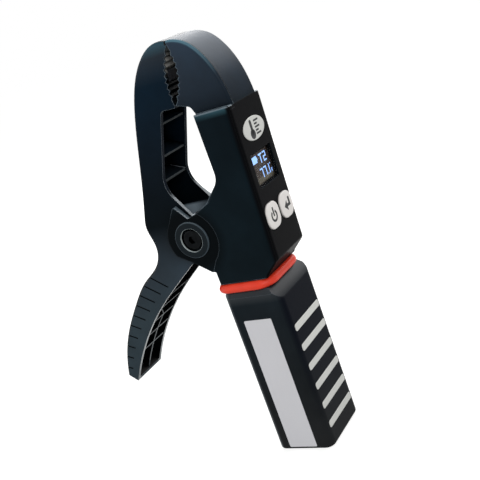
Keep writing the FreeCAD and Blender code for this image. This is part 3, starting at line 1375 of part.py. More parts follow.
def tray_screws():
    screws = []
    for s in (-1, 1):
        base = SPIGOT_BOTTOM - TRAY_END
        top = base + TRAY_SCREW_LENGTH - PILOT_SPARE
        shank = pillar(TRAY_SCREW_RADIUS, base, top, TRAY_SCREW_X, s * TRAY_SCREW_Y)
        head = pillar(TRAY_HEAD_RADIUS, base - TRAY_HEAD_THICK, base, TRAY_SCREW_X, s * TRAY_SCREW_Y)
        screws.append(fuse([shank, head]))
    return Part.makeCompound(screws)


def battery_leads():
    leads = []
    top = SPIGOT_BOTTOM - TRAY_END
    socket = on_front_point(BOARD_BACK - SOCKET_DEEP / 2, 0, POWER_SOCKET_UP)
    for s in (-1, 1):
        points = [Vector(LEAD_HOLE_X, s * CELL_Y, top), Vector(LEAD_HOLE_X, s * CELL_Y, top + 11.0),
                  Vector(-4.5, s * 5.2, 103.0), Vector(3.5, s * 3.4, 109.5),
                  socket + Vector(-1.2, s * 1.7, -8.0), socket + Vector(0, s * 1.5, 0)]
        edges, radii = route(points)
        leads.append(tube(edges, BATTERY_WIRE / 2))
    print("battery lead radii", [round(r, 1) for r in radii])
    return Part.makeCompound(leads)


shell, cover = main_shell_and_cover()
save("main_shell", shell)
save("side_cover", cover)
save("badge_plate", badge_plate())
save("display_window", display_window())
save("power_button", button(-1))
save("return_button", button(1))
save("oled_module", oled_module())
save("circuit_board", circuit_board())
save("board_screws", board_screws())
save("radio_module", radio_module())
save("key_switches", key_switches())
save("sensor_plate", sensor_plate())
save("sensor_lead", sensor_lead())
save("cover_screws", Part.makeCompound([cover_screw(p, HALF_POD) for p in POD_SCREWS]
                                       + [cover_screw(p, HALF_JAW) for p in JAW_SCREWS]))
save("moving_jaw", moving_jaw())
save("jaw_pad", jaw_pad())
save("pivot_screw", pivot_screw())
save("pivot_barrel", pivot_barrel())
save("pivot_nut", pivot_nut())
save("torsion_spring", torsion_spring())
save("neck_ring", ring_tube(RING_THICK / 2))
save("handle_shell", handle_shell())
save("grip_stripes", grip_stripes())
save("side_label", label_plate(0.0))
save("battery_tray", battery_tray())
save("tray_screws", tray_screws())
save("battery_left", battery(-1))
save("battery_right", battery(1))
save("contact_springs", contact_springs())
save("contact_plates", contact_plates())
save("battery_leads", battery_leads())
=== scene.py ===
import json
import math
from types import SimpleNamespace

import bmesh
import bpy
from mathutils import Matrix, Vector


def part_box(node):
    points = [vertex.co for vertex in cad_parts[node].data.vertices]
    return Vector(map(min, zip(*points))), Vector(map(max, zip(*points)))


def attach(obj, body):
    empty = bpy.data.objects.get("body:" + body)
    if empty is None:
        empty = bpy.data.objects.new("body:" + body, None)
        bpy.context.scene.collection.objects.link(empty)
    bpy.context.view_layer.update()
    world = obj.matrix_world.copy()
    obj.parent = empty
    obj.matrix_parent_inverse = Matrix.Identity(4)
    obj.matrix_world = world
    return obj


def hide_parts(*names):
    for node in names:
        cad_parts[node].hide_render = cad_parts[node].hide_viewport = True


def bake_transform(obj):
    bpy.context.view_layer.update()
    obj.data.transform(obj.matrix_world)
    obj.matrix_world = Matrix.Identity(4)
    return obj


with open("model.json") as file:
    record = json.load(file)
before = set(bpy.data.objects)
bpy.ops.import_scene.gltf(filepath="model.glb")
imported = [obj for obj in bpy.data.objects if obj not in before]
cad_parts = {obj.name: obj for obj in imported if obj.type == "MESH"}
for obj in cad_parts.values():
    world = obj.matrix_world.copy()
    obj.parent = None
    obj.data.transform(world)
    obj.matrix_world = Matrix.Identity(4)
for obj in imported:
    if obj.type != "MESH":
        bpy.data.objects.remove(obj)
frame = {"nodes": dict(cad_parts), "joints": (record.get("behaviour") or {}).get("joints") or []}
nodes = frame["nodes"]
scene = bpy.context.scene
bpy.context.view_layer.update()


# Studio
# A pale painted floor, even light from all round and four large soft lamps. The floor and the world are
# white to the camera, to gloss and to glass, and the floor still takes the thermometer's shadow.

def linear(code):
    """An sRGB hex colour as the linear values that the shaders take."""
    parts = [int(code[i:i + 2], 16) / 255 for i in (1, 3, 5)]
    return [c / 12.92 if c <= 0.04045 else ((c + 0.055) / 1.055) ** 2.4 for c in parts] + [1.0]


def fill(tree, node, inputs):
    """Gives a node its inputs: a socket is linked, any other value is set."""
    for socket, value in inputs.items():
        if isinstance(value, bpy.types.NodeSocket):
            tree.links.new(value, node.inputs[socket])
        else:
            node.inputs[socket].default_value = value


def add(tree, kind, inputs=None, **settings):
    """Adds a node with its settings, inputs and links."""
    node = tree.nodes.new(kind)
    for name, value in settings.items():
        setattr(node, name, value)
    fill(tree, node, inputs or {})
    return node


def new_material(name):
    """A material with one plain shader, its tree and that shader."""
    material = bpy.data.materials.new(name)
    material.use_nodes = True
    tree = material.node_tree
    tree.nodes.clear()
    shader = add(tree, "ShaderNodeBsdfPrincipled")
    add(tree, "ShaderNodeOutputMaterial", {"Surface": shader.outputs[0]})
    return material, tree, shader


def seen_directly(tree):
    """1 for camera, gloss and glass rays, 0 for the light that falls on the thermometer."""
    ray = add(tree, "ShaderNodeLightPath").outputs
    clear = add(tree, "ShaderNodeMath", {0: ray["Is Glossy Ray"], 1: ray["Is Transmission Ray"]},
                operation="MAXIMUM")
    return add(tree, "ShaderNodeMath", {0: ray["Is Camera Ray"], 1: clear.outputs[0]},
               operation="MAXIMUM").outputs[0]


ROOM_LIGHT = 0.70       # the strength of the even light; the camera sees 1
scene.view_settings.view_transform = "Standard"
scene.world = bpy.data.worlds.new("even studio light")
scene.world.use_nodes = True
tree = scene.world.node_tree
tree.nodes.clear()
level = add(tree, "ShaderNodeMapRange", {"Value": seen_directly(tree), "To Min": ROOM_LIGHT, "To Max": 1.0})
light = add(tree, "ShaderNodeBackground", {"Color": linear("#ffffff"), "Strength": level.outputs[0]})
add(tree, "ShaderNodeOutputWorld", {"Surface": light.outputs[0]})

FLOOR = 12              # metres from the middle to each side
floor_mesh = bpy.data.meshes.new("floor")
floor_mesh.from_pydata([(-FLOOR, -FLOOR, 0), (FLOOR, -FLOOR, 0), (FLOOR, FLOOR, 0), (-FLOOR, FLOOR, 0)],
                       [], [(0, 1, 2, 3)])
floor = bpy.data.objects.new("floor", floor_mesh)
scene.collection.objects.link(floor)
# Floor paint is matt and pale; to the camera it glows up to white, less where the shadow lies.
paint, tree, shader = new_material("matt white floor paint")
glow = add(tree, "ShaderNodeMapRange", {"Value": seen_directly(tree), "To Min": 0.0, "To Max": 0.70})
fill(tree, shader, {"Base Color": linear("#b0b0af"), "Roughness": 0.9, "Specular IOR Level": 0.0,
                    "Emission Color": linear("#ffffff"), "Emission Strength": glow.outputs[0]})
floor_mesh.materials.append(paint)

AIM = Vector((0.0, 0.0, 0.13))      # every lamp points at the head
for name, spot, width, height, watts in (
        ("front soft box", (0.80, -0.95, 0.80), 0.9, 0.9, 7.0),
        ("left soft box", (-0.95, -0.75, 0.35), 0.7, 0.7, 2.6),
        ("soft box behind and above", (0.05, 0.82, 0.70), 1.0, 0.65, 7.5),
        ("soft box behind on the left", (-0.62, 0.80, 0.42), 0.5, 0.5, 2.6)):
    lamp = bpy.data.lights.new(name, "AREA")
    lamp.shape = "RECTANGLE"
    lamp.size, lamp.size_y, lamp.energy = width, height, watts
    stand = bpy.data.objects.new(name, lamp)
    stand.location = spot
    stand.rotation_euler = (AIM - Vector(spot)).to_track_quat("-Z", "Y").to_euler()
    scene.collection.objects.link(stand)

# The camera's place and its right, up and back directions come from a fit to the photograph's edges.
view = bpy.data.cameras.new("camera")
view.lens, view.sensor_width = 63.5, 36.0
camera = bpy.data.objects.new("camera", view)
right, up, back = (0.8281, 0.4523, -0.3312), (0.1477, 0.3939, 0.9072), (0.5408, -0.8002, 0.2594)
camera.matrix_world = (Matrix.Translation((0.23627, -0.3604, 0.23503))
                       @ Matrix((right, up, back)).transposed().to_4x4())
scene.collection.objects.link(camera)
scene.camera = camera


# Grip sleeve
# A closed-end sleeve that the hand holds, injection moulded in near-black ABS and pulled off downwards to
# reach the cells. Its pockets take the light strips and the side panel.

def dress(node, material):
    """Gives a CAD node its one material."""
    nodes[node].data.materials.clear()
    nodes[node].data.materials.append(material)


def surface_of(tree):
    """What a material reads of its surface: place and normal, whole and by axis, and how far across."""
    place = add(tree, "ShaderNodeTexCoord").outputs["Object"]
    normal = add(tree, "ShaderNodeNewGeometry").outputs["Normal"]
    x, y, z = add(tree, "ShaderNodeSeparateXYZ", {0: place}).outputs
    nx, ny, nz = add(tree, "ShaderNodeSeparateXYZ", {0: normal}).outputs
    aside, sideways = (add(tree, "ShaderNodeMath", {0: across}, operation="ABSOLUTE").outputs[0]
                       for across in (y, ny))
    return SimpleNamespace(place=place, x=x, y=y, z=z, aside=aside,
                           normal=normal, nx=nx, ny=ny, nz=nz, sideways=sideways)


def where(tree, *limits):
    """How far a point meets all the limits, from 0 to 1. A limit is (value, "over" or "under", edge),
    (value, "near", middle, half the width) or, with a soft edge, (value, where none, where all) and the
    amounts at those two if they aren't 0 and 1. A bare number or socket is an amount."""
    whole = 1.0
    for limit in limits:
        if isinstance(limit, tuple):
            value, first, *rest = limit
            if isinstance(first, str):
                test = {"over": "GREATER_THAN", "under": "LESS_THAN", "near": "COMPARE"}[first]
                node = add(tree, "ShaderNodeMath", dict(enumerate((value, *rest))), operation=test)
            else:
                ends = zip(("Value", "From Min", "From Max", "To Min", "To Max"), limit)
                node = add(tree, "ShaderNodeMapRange", dict(ends))
            limit = node.outputs[0]
        whole = add(tree, "ShaderNodeMath", {0: whole, 1: limit}, operation="MULTIPLY").outputs[0]
    return whole


def repaint(tree, colour, *limits):
    """Lays a colour over a material where the limits are met."""
    shader = next(n for n in tree.nodes if n.type == "BSDF_PRINCIPLED")
    plain = shader.inputs["Base Color"].links[0].from_socket
    over = add(tree, "ShaderNodeMix", {"Factor": where(tree, *limits), 6: plain, 7: linear(colour)},
               data_type="RGBA")
    fill(tree, shader, {"Base Color": over.outputs[2]})


def graded(tree, value, stops):
    """Colours or amounts along a value, from (value, colour or amount) pairs, low to high."""
    low, high = stops[0][0], stops[-1][0] + 1e-6
    along = add(tree, "ShaderNodeMapRange", {"Value": value, "From Min": low, "From Max": high})
    ramp = add(tree, "ShaderNodeValToRGB", {"Fac": along.outputs[0]})
    marks = ramp.color_ramp.elements
    marks.remove(marks[1])
    for i, (at, colour) in enumerate(stops):
        mark = marks[0] if i == 0 else marks.new((at - low) / (high - low))
        mark.color = linear(colour) if isinstance(colour, str) else (colour, colour, colour, 1.0)
    return ramp


def marked(tree, marks, smooth, rough, depth, normal=None):
    """The roughness and the relief that one pattern of marks gives a surface."""
    dull = add(tree, "ShaderNodeMapRange", {"Value": marks, "To Min": smooth, "To Max": rough})
    bump = add(tree, "ShaderNodeBump", {"Height": marks, "Distance": depth})
    if normal:
        fill(tree, bump, {"Normal": normal})
    return {"Roughness": dull.outputs[0], "Normal": bump.outputs[0]}


def moulded(name, shades, edge, roughness, gloss, grain=0.0011, relief=0.00002, edge_width=0.0004,
            drift=0.22, wear_and_highlight=1.0, edge_marks_from=0.0, polish=None, glare=None):
    """Injection-moulded plastic with a spark-eroded texture. Its edges turn paler, partly as wear and partly as
    a painted highlight where they catch light, and its corners and crevices get painted shade.
    shades is (height in metres, colour) from low to high; gloss is the specular level left by the texture;
    polish is (height, amount) from low to high, where hands have rubbed the texture smooth; glare is
    (amount, lowest, highest, nearest to the middle), the zone in which faces that look up get a painted
    highlight and a coat."""
    material, tree, shader = new_material(name)
    at = surface_of(tree)
    # The real texture is about 0.1 mm across; it is drawn near 1 mm, the finest that shows.
    pits = add(tree, "ShaderNodeTexNoise", {"Vector": at.place, "Scale": 1 / grain, "Detail": 2.0,
                                            "Roughness": 0.6}).outputs["Fac"]
    flow = add(tree, "ShaderNodeTexNoise", {"Vector": at.place, "Scale": 38.0, "Detail": 3.0,
                                            "Roughness": 0.55}).outputs["Fac"]
    tone = add(tree, "ShaderNodeMapRange", {"Value": flow, "From Min": 0.3, "From Max": 0.7,
                                            "To Min": 1 - drift, "To Max": 1 + drift})
    rounded_normal = add(tree, "ShaderNodeBevel", {"Radius": edge_width}, samples=4).outputs[0]
    turn = add(tree, "ShaderNodeVectorMath", {0: rounded_normal, 1: at.normal},
               operation="DOT_PRODUCT").outputs["Value"]
    # The occlusion darkens corners and crevices with painted shade.
    free = add(tree, "ShaderNodeAmbientOcclusion", {"Distance": 0.0018}, samples=6).outputs["AO"]
    shade = add(tree, "ShaderNodeMapRange", {"Value": free, "From Min": 0.25, "From Max": 0.85,
                                             "To Min": 0.45, "To Max": 1.0})
    # Open, convex edges take the edge colour: partly wear, partly a painted highlight.
    rub_and_highlight = where(tree, (turn, 0.985, 0.80, 0.0, 1.6 * wear_and_highlight), (free, 0.72, 0.92), (at.z, "over", edge_marks_from))
    mark = add(tree, "ShaderNodeMath", {0: rub_and_highlight, 1: flow}, operation="MULTIPLY", use_clamp=True)
    colour = graded(tree, at.z, shades).outputs["Color"]
    for tint in (tone, shade):
        colour = add(tree, "ShaderNodeMix", {"Factor": 1.0, 6: colour, 7: tint.outputs[0]},
                     data_type="RGBA", blend_type="MULTIPLY").outputs[2]
    colour = add(tree, "ShaderNodeMix", {"Factor": mark.outputs[0], 6: colour, 7: linear(edge)},
                 data_type="RGBA").outputs[2]
    fill(tree, shader, {"Base Color": colour, "IOR": 1.5, "Specular IOR Level": gloss,
                        **marked(tree, pits, roughness - 0.06, roughness + 0.06, relief, rounded_normal)})
    if polish:
        rubbed = graded(tree, at.z, polish).outputs["Color"]
        fill(tree, shader, {"Coat Weight": rubbed, "Coat Roughness": 0.34})
    # Faces that look up in the glare zone take the edge colour as a painted highlight, and a coat.
    if glare:
        amount, lowest, highest, nearest = glare
        shine = where(tree, (at.nz, 0.35, 0.72, 0.0, amount), (at.aside, "over", nearest),
                      (at.z, "near", (lowest + highest) / 2, (highest - lowest) / 2))
        repaint(tree, edge, shine)
        most = add(tree, "ShaderNodeMath", {0: rubbed, 1: shine}, operation="MAXIMUM")
        fill(tree, shader, {"Coat Weight": most.outputs[0]})
    return material


# Near-black ABS from a finely textured mould: an even satin, with paler edges of wear and painted highlight.
black_abs = moulded("textured black ABS", ((0.0, "#202122"), (0.05, "#191d20"), (0.096, "#171e23")),
                    "#6a737b", 0.46, 0.022, edge_width=0.0007, wear_and_highlight=0.5,
                    polish=((0.0885, 0.0), (0.0925, 0.34), (0.0965, 0.50)))
# The front between the strips is darkened to a blue black with painted shade, most towards the top;
# the rounded rear edges of the sides get a painted grey highlight.
tree = black_abs.node_tree
at = surface_of(tree)
repaint(tree, "#080b14", (at.nx, 0.5, 0.9), (at.z, 0.010, 0.070, 0.1, 0.9))
repaint(tree, "#565e62", (at.x, -0.0134, -0.0152, 0.0, 0.8), (at.sideways, 0.2, 0.6))
dress("handle_shell", black_abs)


# Light strips on the grip
# Six soft strips of light grey thermoplastic rubber, moulded into the grip's front pockets as a second shot.
# Their tops stand a third of a millimetre proud for the fingers.

# Thermoplastic rubber moulds matt and slightly chalky, with faint handling marks.
light_rubber = moulded("light grey thermoplastic rubber", ((0.0, "#c7c8c4"), (0.08, "#cfd0cc")),
                       "#e6e6e2", 0.62, 0.3, grain=0.0008, relief=0.000012, edge_width=0.0003, drift=0.035)
dress("grip_stripes", light_rubber)


# Side panel on the grip
# A plain pale grey film stuck in a shallow recess down the grip's near side, where a name plate would be.
# Screen-printed polycarbonate: flat, matt and even.

# The ink lies on the film's back, so the panel is one even tone with no edge wear to speak of.
printed_film = moulded("pale grey printed film", ((0.0, "#c9c9cd"), (0.08, "#cacace")),
                       "#d5d5d9", 0.52, 0.35, grain=0.0006, relief=0.000004, edge_width=0.0002, drift=0.02)
dress("side_label", printed_film)


# Battery tray, contacts and leads
# A black ABS carrier screwed up under the neck holds the two cells side by side. Nickel-plated springs and
# plates touch the cells, and two leads run up through the neck to the board.

def metal(name, colour, dark, roughness, scale, relief, stretch=(1.0, 1.0, 1.0)):
    """Bare or plated metal: slightly mottled, with fine marks that may run one way."""
    material, tree, shader = new_material(name)
    place = add(tree, "ShaderNodeTexCoord").outputs["Object"]
    run = add(tree, "ShaderNodeMapping", {"Vector": place, "Scale": stretch})
    marks = add(tree, "ShaderNodeTexNoise", {"Vector": run.outputs[0], "Scale": scale, "Detail": 4.0})
    bloom = add(tree, "ShaderNodeTexNoise", {"Vector": place, "Scale": 240.0, "Detail": 2.0})
    mottled = add(tree, "ShaderNodeMix", {"Factor": bloom.outputs["Fac"], 6: linear(dark), 7: linear(colour)},
                  data_type="RGBA")
    fill(tree, shader, {"Base Color": mottled.outputs[2], "Metallic": 1.0,
                        **marked(tree, marks.outputs["Fac"], roughness - 0.09, roughness + 0.09, relief)})
    return material


# The tray comes from a smooth mould, so its black is glossier than the sleeve's.
tray_abs = moulded("smooth black ABS", ((0.0, "#191b1d"), (0.085, "#191b1d")), "#3a4046", 0.36, 0.25,
                   relief=0.000006)
dress("battery_tray", tray_abs)
# Nickel plate is a warm bright grey, drawn into wire and strip, so its marks are fine and even.
nickel = metal("nickel-plated spring wire", "#c9c4b8", "#a39d90", 0.24, 900.0, 0.000003)
dress("contact_springs", nickel)
dress("contact_plates", nickel)


def insulated(name, far, near):
    """Soft PVC insulation of a two-core lead, with one core on each side of the middle."""
    material, tree, shader = new_material(name)
    place = add(tree, "ShaderNodeTexCoord").outputs["Object"]
    side = add(tree, "ShaderNodeSeparateXYZ", {0: place}).outputs["Y"]
    haze = add(tree, "ShaderNodeTexNoise", {"Vector": place, "Scale": 500.0, "Detail": 3.0})
    colour = add(tree, "ShaderNodeMix", {"Factor": where(tree, (side, "over", 0.0)),
                                         6: linear(near), 7: linear(far)}, data_type="RGBA")
    fill(tree, shader, {"Base Color": colour.outputs[2],
                        **marked(tree, haze.outputs["Fac"], 0.34, 0.52, 0.00001)})
    return material


dress("battery_leads", insulated("red and black PVC insulation", "#17181a", "#a02018"))


# Cells
# Two AA cells in plain shrink sleeves: a pale grey can with a dark band at the negative end, and bare
# nickel-plated steel at both ends. The sleeve is glossy film, so it mirrors softly along its length.

def sleeved(node, top_up):
    """The steel and sleeve of a cell; the shares of its length are where each band begins."""
    low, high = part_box(node)
    foot, tip = (low.z, high.z) if top_up else (high.z, low.z)
    material, tree, shader = new_material(node.replace("_", " ") + " shrink sleeve")
    place = add(tree, "ShaderNodeTexCoord").outputs["Object"]
    height = add(tree, "ShaderNodeSeparateXYZ", {0: place}).outputs["Z"]
    along = where(tree, (height, foot, tip))
    bands = graded(tree, along, ((0.0, "#b7b3a8"), (0.012, "#24282c"), (0.24, "#d4d6d4"),
                                 (0.965, "#b7b3a8"), (1.0, "#b7b3a8")))
    bands.color_ramp.interpolation = "CONSTANT"
    film = add(tree, "ShaderNodeMath", {0: along, 1: 0.476, 2: 0.4765}, operation="COMPARE")
    bare = add(tree, "ShaderNodeMath", {0: 1.0, 1: film.outputs[0]}, operation="SUBTRACT")
    creases = add(tree, "ShaderNodeTexNoise", {"Vector": place, "Scale": 350.0, "Detail": 3.0})
    fill(tree, shader, {"Base Color": bands.outputs["Color"], "Metallic": bare.outputs[0],
                        **marked(tree, creases.outputs["Fac"], 0.16, 0.32, 0.00002)})
    return material


dress("battery_left", sleeved("battery_left", True))
dress("battery_right", sleeved("battery_right", False))


# Neck ring
# A moulded silicone sealing ring in orange red, stretched into the groove between head and grip.
# Silicone has a wet-looking gloss over a slightly translucent body.

silicone, tree, shader = new_material("orange-red silicone rubber")
place = add(tree, "ShaderNodeTexCoord").outputs["Object"]
ripple = add(tree, "ShaderNodeTexNoise", {"Vector": place, "Scale": 160.0, "Detail": 3.0}).outputs["Fac"]
body = add(tree, "ShaderNodeMix", {"Factor": ripple, 6: linear("#cc331f"), 7: linear("#e64028")},
           data_type="RGBA")
fill(tree, shader, {"Base Color": body.outputs[2], "IOR": 1.42, "Subsurface Weight": 0.12,
                    "Subsurface Scale": 0.0008, "Specular IOR Level": 0.3,
                    **marked(tree, ripple, 0.3, 0.42, 0.00006)})


def arc(x, y, radius, first, last, steps):
    """Points along an arc round (x, y), from one angle to another in degrees."""
    angles = [math.radians(first + (last - first) * i / steps) for i in range(steps + 1)]
    return [(x + radius * math.cos(a), y + radius * math.sin(a)) for a in angles]


def rounded_plan(x0, x1, half, rear, front):
    """Points round a plan outline with one corner radius at the rear and one at the front; millimetres."""
    return (arc(x1 - front, half - front, front, 0, 90, 10) + arc(x0 + rear, half - rear, rear, 90, 180, 10)
            + arc(x0 + rear, rear - half, rear, 180, 270, 10)
            + arc(x1 - front, front - half, front, 270, 360, 10))


def object_of(name, shape, material=None):
    """A closed bmesh as an object, its faces turned outwards."""
    bmesh.ops.recalc_face_normals(shape, faces=shape.faces)
    mesh = bpy.data.meshes.new(name)
    shape.to_mesh(mesh)
    shape.free()
    if material:
        mesh.materials.append(material)
    piece = bpy.data.objects.new(name, mesh)
    scene.collection.objects.link(piece)
    return piece


# The ring is squeezed flat on the grip's rim and bulges out over the rim's slope: its section runs from the
# neck (0) to its outermost line (1), at heights in millimetres.
SECTION = ((0.0, 97.3), (0.02, 98.6), (0.10, 99.8), (0.26, 100.6), (0.47, 100.95), (0.68, 100.7),
           (0.86, 100.0), (0.97, 98.9), (1.0, 97.9), (0.96, 96.95), (0.87, 96.4), (0.75, 96.15),
           (0.62, 96.25), (0.50, 96.35), (0.28, 96.35), (0.08, 96.45))
inner = rounded_plan(-15.0, 9.2, 15.1, 6.7, 6.7)
outer = rounded_plan(-20.6, 14.2, 20.0, 7.5, 9.5)
shape = bmesh.new()
loops = [[shape.verts.new(Vector((*Vector(near).lerp(Vector(far), out), z)) / 1000) for out, z in SECTION]
         for near, far in zip(inner, outer)]
for here, there in zip(loops, loops[1:] + loops[:1]):
    for i in range(len(SECTION)):
        j = (i + 1) % len(SECTION)
        shape.faces.new((here[i], here[j], there[j], there[i])).smooth = True
seated = object_of("seated_neck_ring", shape, silicone)
rounder = seated.modifiers.new("rounder", "SUBSURF")
rounder.levels = rounder.render_levels = 1
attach(seated, "root")
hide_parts("neck_ring")


# Head shells
# The far half of the head, with the wide outer band and the front face, and the near cover that closes it.
# Both are injection moulded in glass-filled nylon, matt and near black with a blue cast.

# Glass-filled nylon moulds matt and swallows light face on, yet glares grey along a low angle.
# Its colour turns lighter and bluer up the jaw's band as painted light, and faces that look up on the head's
# sides below the band get a painted highlight.
nylon = moulded("matt black glass-filled nylon",
                ((0.09, "#0e181d"), (0.125, "#0b151a"), (0.188, "#0a141a"), (0.194, "#101c27"),
                 (0.228, "#16293a")),
                "#6f7e88", 0.42, 0.022, grain=0.0012, relief=0.000022, edge_width=0.0009, drift=0.28,
                wear_and_highlight=1.5, polish=((0.1895, 0.0), (0.1925, 0.08), (0.200, 0.15), (0.208, 0.20), (0.224, 0.29)),
                glare=(0.75, 0.0, 0.196, 0.0127))
PIVOT = Vector((-0.02485, 0.0, 0.128))      # metres
POD_TOP = 0.1915
EAR_FACE = 0.0139                           # the boss and the screw lie further out than this


def reach_from(tree, place, centre):
    """The distance from a line across the thermometer through a centre."""
    side_view = add(tree, "ShaderNodeVectorMath", {0: place, 1: (1.0, 0.0, 1.0)}, operation="MULTIPLY")
    return add(tree, "ShaderNodeVectorMath", {0: side_view.outputs[0], 1: centre},
               operation="DISTANCE").outputs["Value"]


tree = nylon.node_tree
at = surface_of(tree)
reach = reach_from(tree, at.place, PIVOT)
not_up = (at.nz, 0.55, 0.35)
pod = (at.z, "under", 0.190)
# The ears lie in the jaw's shade, so they get painted shade, round a boss whose face is a lighter grey.
repaint(tree, "#020507", (reach, 0.0225, 0.0150, 0.0, 0.92), not_up)
repaint(tree, "#22292d", (reach, "under", 0.0100), (at.aside, "over", EAR_FACE), 0.6)
# Painted shade darkens the front face, and the pod's chin and the underside behind it, which face down.
repaint(tree, "#040406", (at.nx, 0.30, 0.70, 0.0, 0.96), pod, not_up)
repaint(tree, "#020303", (at.nz, -0.15, -0.40))
# Painted highlights ring the boss's edge and the recess's rim; the recess's wall gets painted shade, with a
# thin ring of painted reflection along its outer edge.
for radius, half_width, beyond, colour in (
        (0.0100, 0.00024, EAR_FACE, "#434e55"), (0.00672, 0.00014, EAR_FACE, "#3c464c"),
        (0.0066, 0.00008, EAR_FACE, "#05080a"), (0.0066, 0.00008, 0.0159, "#a9b2b2")):
    repaint(tree, colour, (reach, "near", radius, half_width), (at.aside, "over", beyond))
# The band's near edge is a rounded lip beside the joint, and it takes the shine of the band.
repaint(tree, "#5d8696", (at.ny, -0.995, -0.90), (at.y, "under", -0.0114),
        (at.z, 0.206, 0.2255, 0.0, 0.62), (at.z, "over", POD_TOP))
# The pod's upper edge is rolled over, and its side takes light just below it, most towards the front.
repaint(tree, "#3f6470", (at.z, 0.1868, 0.1893, 0.0, 0.42), (at.x, -0.006, 0.016, 0.25, 1.0),
        (at.aside, 0.0170, 0.0176), pod)
# The jaws meet at the tip in a fine dark line. The joint between the halves is a hair's width, so it is
# drawn as a dark line half a millimetre wide.
repaint(tree, "#050608", (at.x, "under", -0.0002), (at.z, "over", 0.2262))
for y, low, high in ((-0.0159, 0.103, POD_TOP), (-0.01125, POD_TOP, 0.226)):
    repaint(tree, "#020304", (at.y, "near", y, 0.00028), (at.x, "over", -0.006),
            (at.z, "near", (low + high) / 2, (high - low) / 2))
dress("main_shell", nylon)
dress("side_cover", nylon)


# Screws in the head, the board and the tray
# Pan-head forming screws with a cross recess. The five in the head are driven from the far side, deep in
# counterbores, the four small ones hold the board, and two hold the tray under the neck.

def lathe(profile, steps=40):
    """A turned shape about Z from (radius, height) points, closed at both poles."""
    shape = bmesh.new()
    rings = []
    for radius, z in profile:
        around = arc(0, 0, radius, 0, 360, steps)[:-1] if radius > 1e-7 else [(0, 0)]
        rings.append([shape.verts.new((*point, z)) for point in around])
    for a, b in zip(rings, rings[1:]):
        for i in range(steps):
            j = (i + 1) % steps
            corners = [a[i % len(a)], a[j % len(a)], b[j % len(b)], b[i % len(b)]]
            corners = [v for k, v in enumerate(corners) if v not in corners[:k]]
            if len(corners) > 2:
                shape.faces.new(corners)
    return shape


def plain_copy(thing, name):
    """The object with its modifiers applied, as a new plain mesh object."""
    bpy.context.view_layer.update()
    graph = bpy.context.evaluated_depsgraph_get()
    mesh = bpy.data.meshes.new_from_object(thing.evaluated_get(graph))
    piece = bpy.data.objects.new(name, mesh)
    scene.collection.objects.link(piece)
    return piece


def cross_screw(name, shank, length, head, thick):
    """A pan-head screw whose head stands on Z = 0 and whose shank runs down; sizes in millimetres."""
    pitch, root = 0.42, shank * 0.76
    thread = [(shank if i % 2 else root, -length + 0.6 + i * pitch) for i in range(int((length - 1.2) / pitch))]
    profile = [(0, -length), (shank * 0.45, -length + 0.15), *thread, (shank * 0.8, -0.3), (shank * 0.8, 0),
               (head, 0), (head, thick * 0.35), (head * 0.93, thick * 0.7), (head * 0.7, thick * 0.93),
               (0, thick)]
    blank = object_of(name, lathe([(r / 1000, z / 1000) for r, z in profile]))
    bit = bmesh.new()
    for turn in (0, math.pi / 2):
        for v in bmesh.ops.create_cube(bit, size=1.0)["verts"]:
            half_arm = head * (0.56 if v.co.z > 0 else 0.34)
            v.co = Vector((v.co.x * 2 * half_arm, v.co.y * head * 0.24, thick * (0.75 + v.co.z))) / 1000
            v.co.rotate(Matrix.Rotation(turn, 3, "Z"))
    driver = object_of("driver bit", bit)
    cut = blank.modifiers.new("recess", "BOOLEAN")
    cut.operation, cut.object, cut.solver, cut.use_self = "DIFFERENCE", driver, "EXACT", True
    screw = plain_copy(blank, name)
    for thing in (blank, driver):
        bpy.data.objects.remove(thing)
    screw.hide_render = screw.hide_viewport = True
    return screw


def make_tree(name, inputs):
    """An empty Geometry Nodes tree with named inputs (name, socket type, value), and its two ends."""
    tree = bpy.data.node_groups.new(name, "GeometryNodeTree")
    tree.interface.new_socket("Geometry", in_out="INPUT", socket_type="NodeSocketGeometry")
    for label, kind, value in inputs:
        socket = tree.interface.new_socket(label, in_out="INPUT", socket_type=kind)
        if value is not None:
            socket.default_value = value
    tree.interface.new_socket("Geometry", in_out="OUTPUT", socket_type="NodeSocketGeometry")
    return tree, add(tree, "NodeGroupInput").outputs, add(tree, "NodeGroupOutput")


def end_tree(tree, shape, given, result):
    """Makes a tree's instances real and gives them the finish."""
    solid = add(tree, "GeometryNodeRealizeInstances", {0: shape})
    finished = add(tree, "GeometryNodeSetMaterial", {"Geometry": solid.outputs[0],
                                                     "Material": given["Finish"]})
    fill(tree, result, {0: finished.outputs[0]})


def grown(name, tree, points, edges, values):
    """Runs a tree on a few points and returns the result as a plain mesh object."""
    mesh = bpy.data.meshes.new(name)
    mesh.from_pydata([tuple(point) for point in points], edges, [])
    holder = bpy.data.objects.new(name + " holder", mesh)
    scene.collection.objects.link(holder)
    maker = holder.modifiers.new("made", "NODES")
    maker.node_group = tree
    for item in tree.interface.items_tree:
        if item.in_out == "INPUT" and item.name in values:
            maker[item.identifier] = values[item.name]
    piece = plain_copy(holder, name)
    bpy.data.objects.remove(holder)
    return piece


# One screw at each point, leaned to the hole's axis and stopped at its own turn.
screw_tree, given, result = make_tree("screws in their holes", (
    ("Screw", "NodeSocketObject", None), ("Lean", "NodeSocketRotation", None),
    ("Turn seed", "NodeSocketInt", 3), ("Finish", "NodeSocketMaterial", None)))
blank = add(screw_tree, "GeometryNodeObjectInfo", {"Object": given["Screw"]})
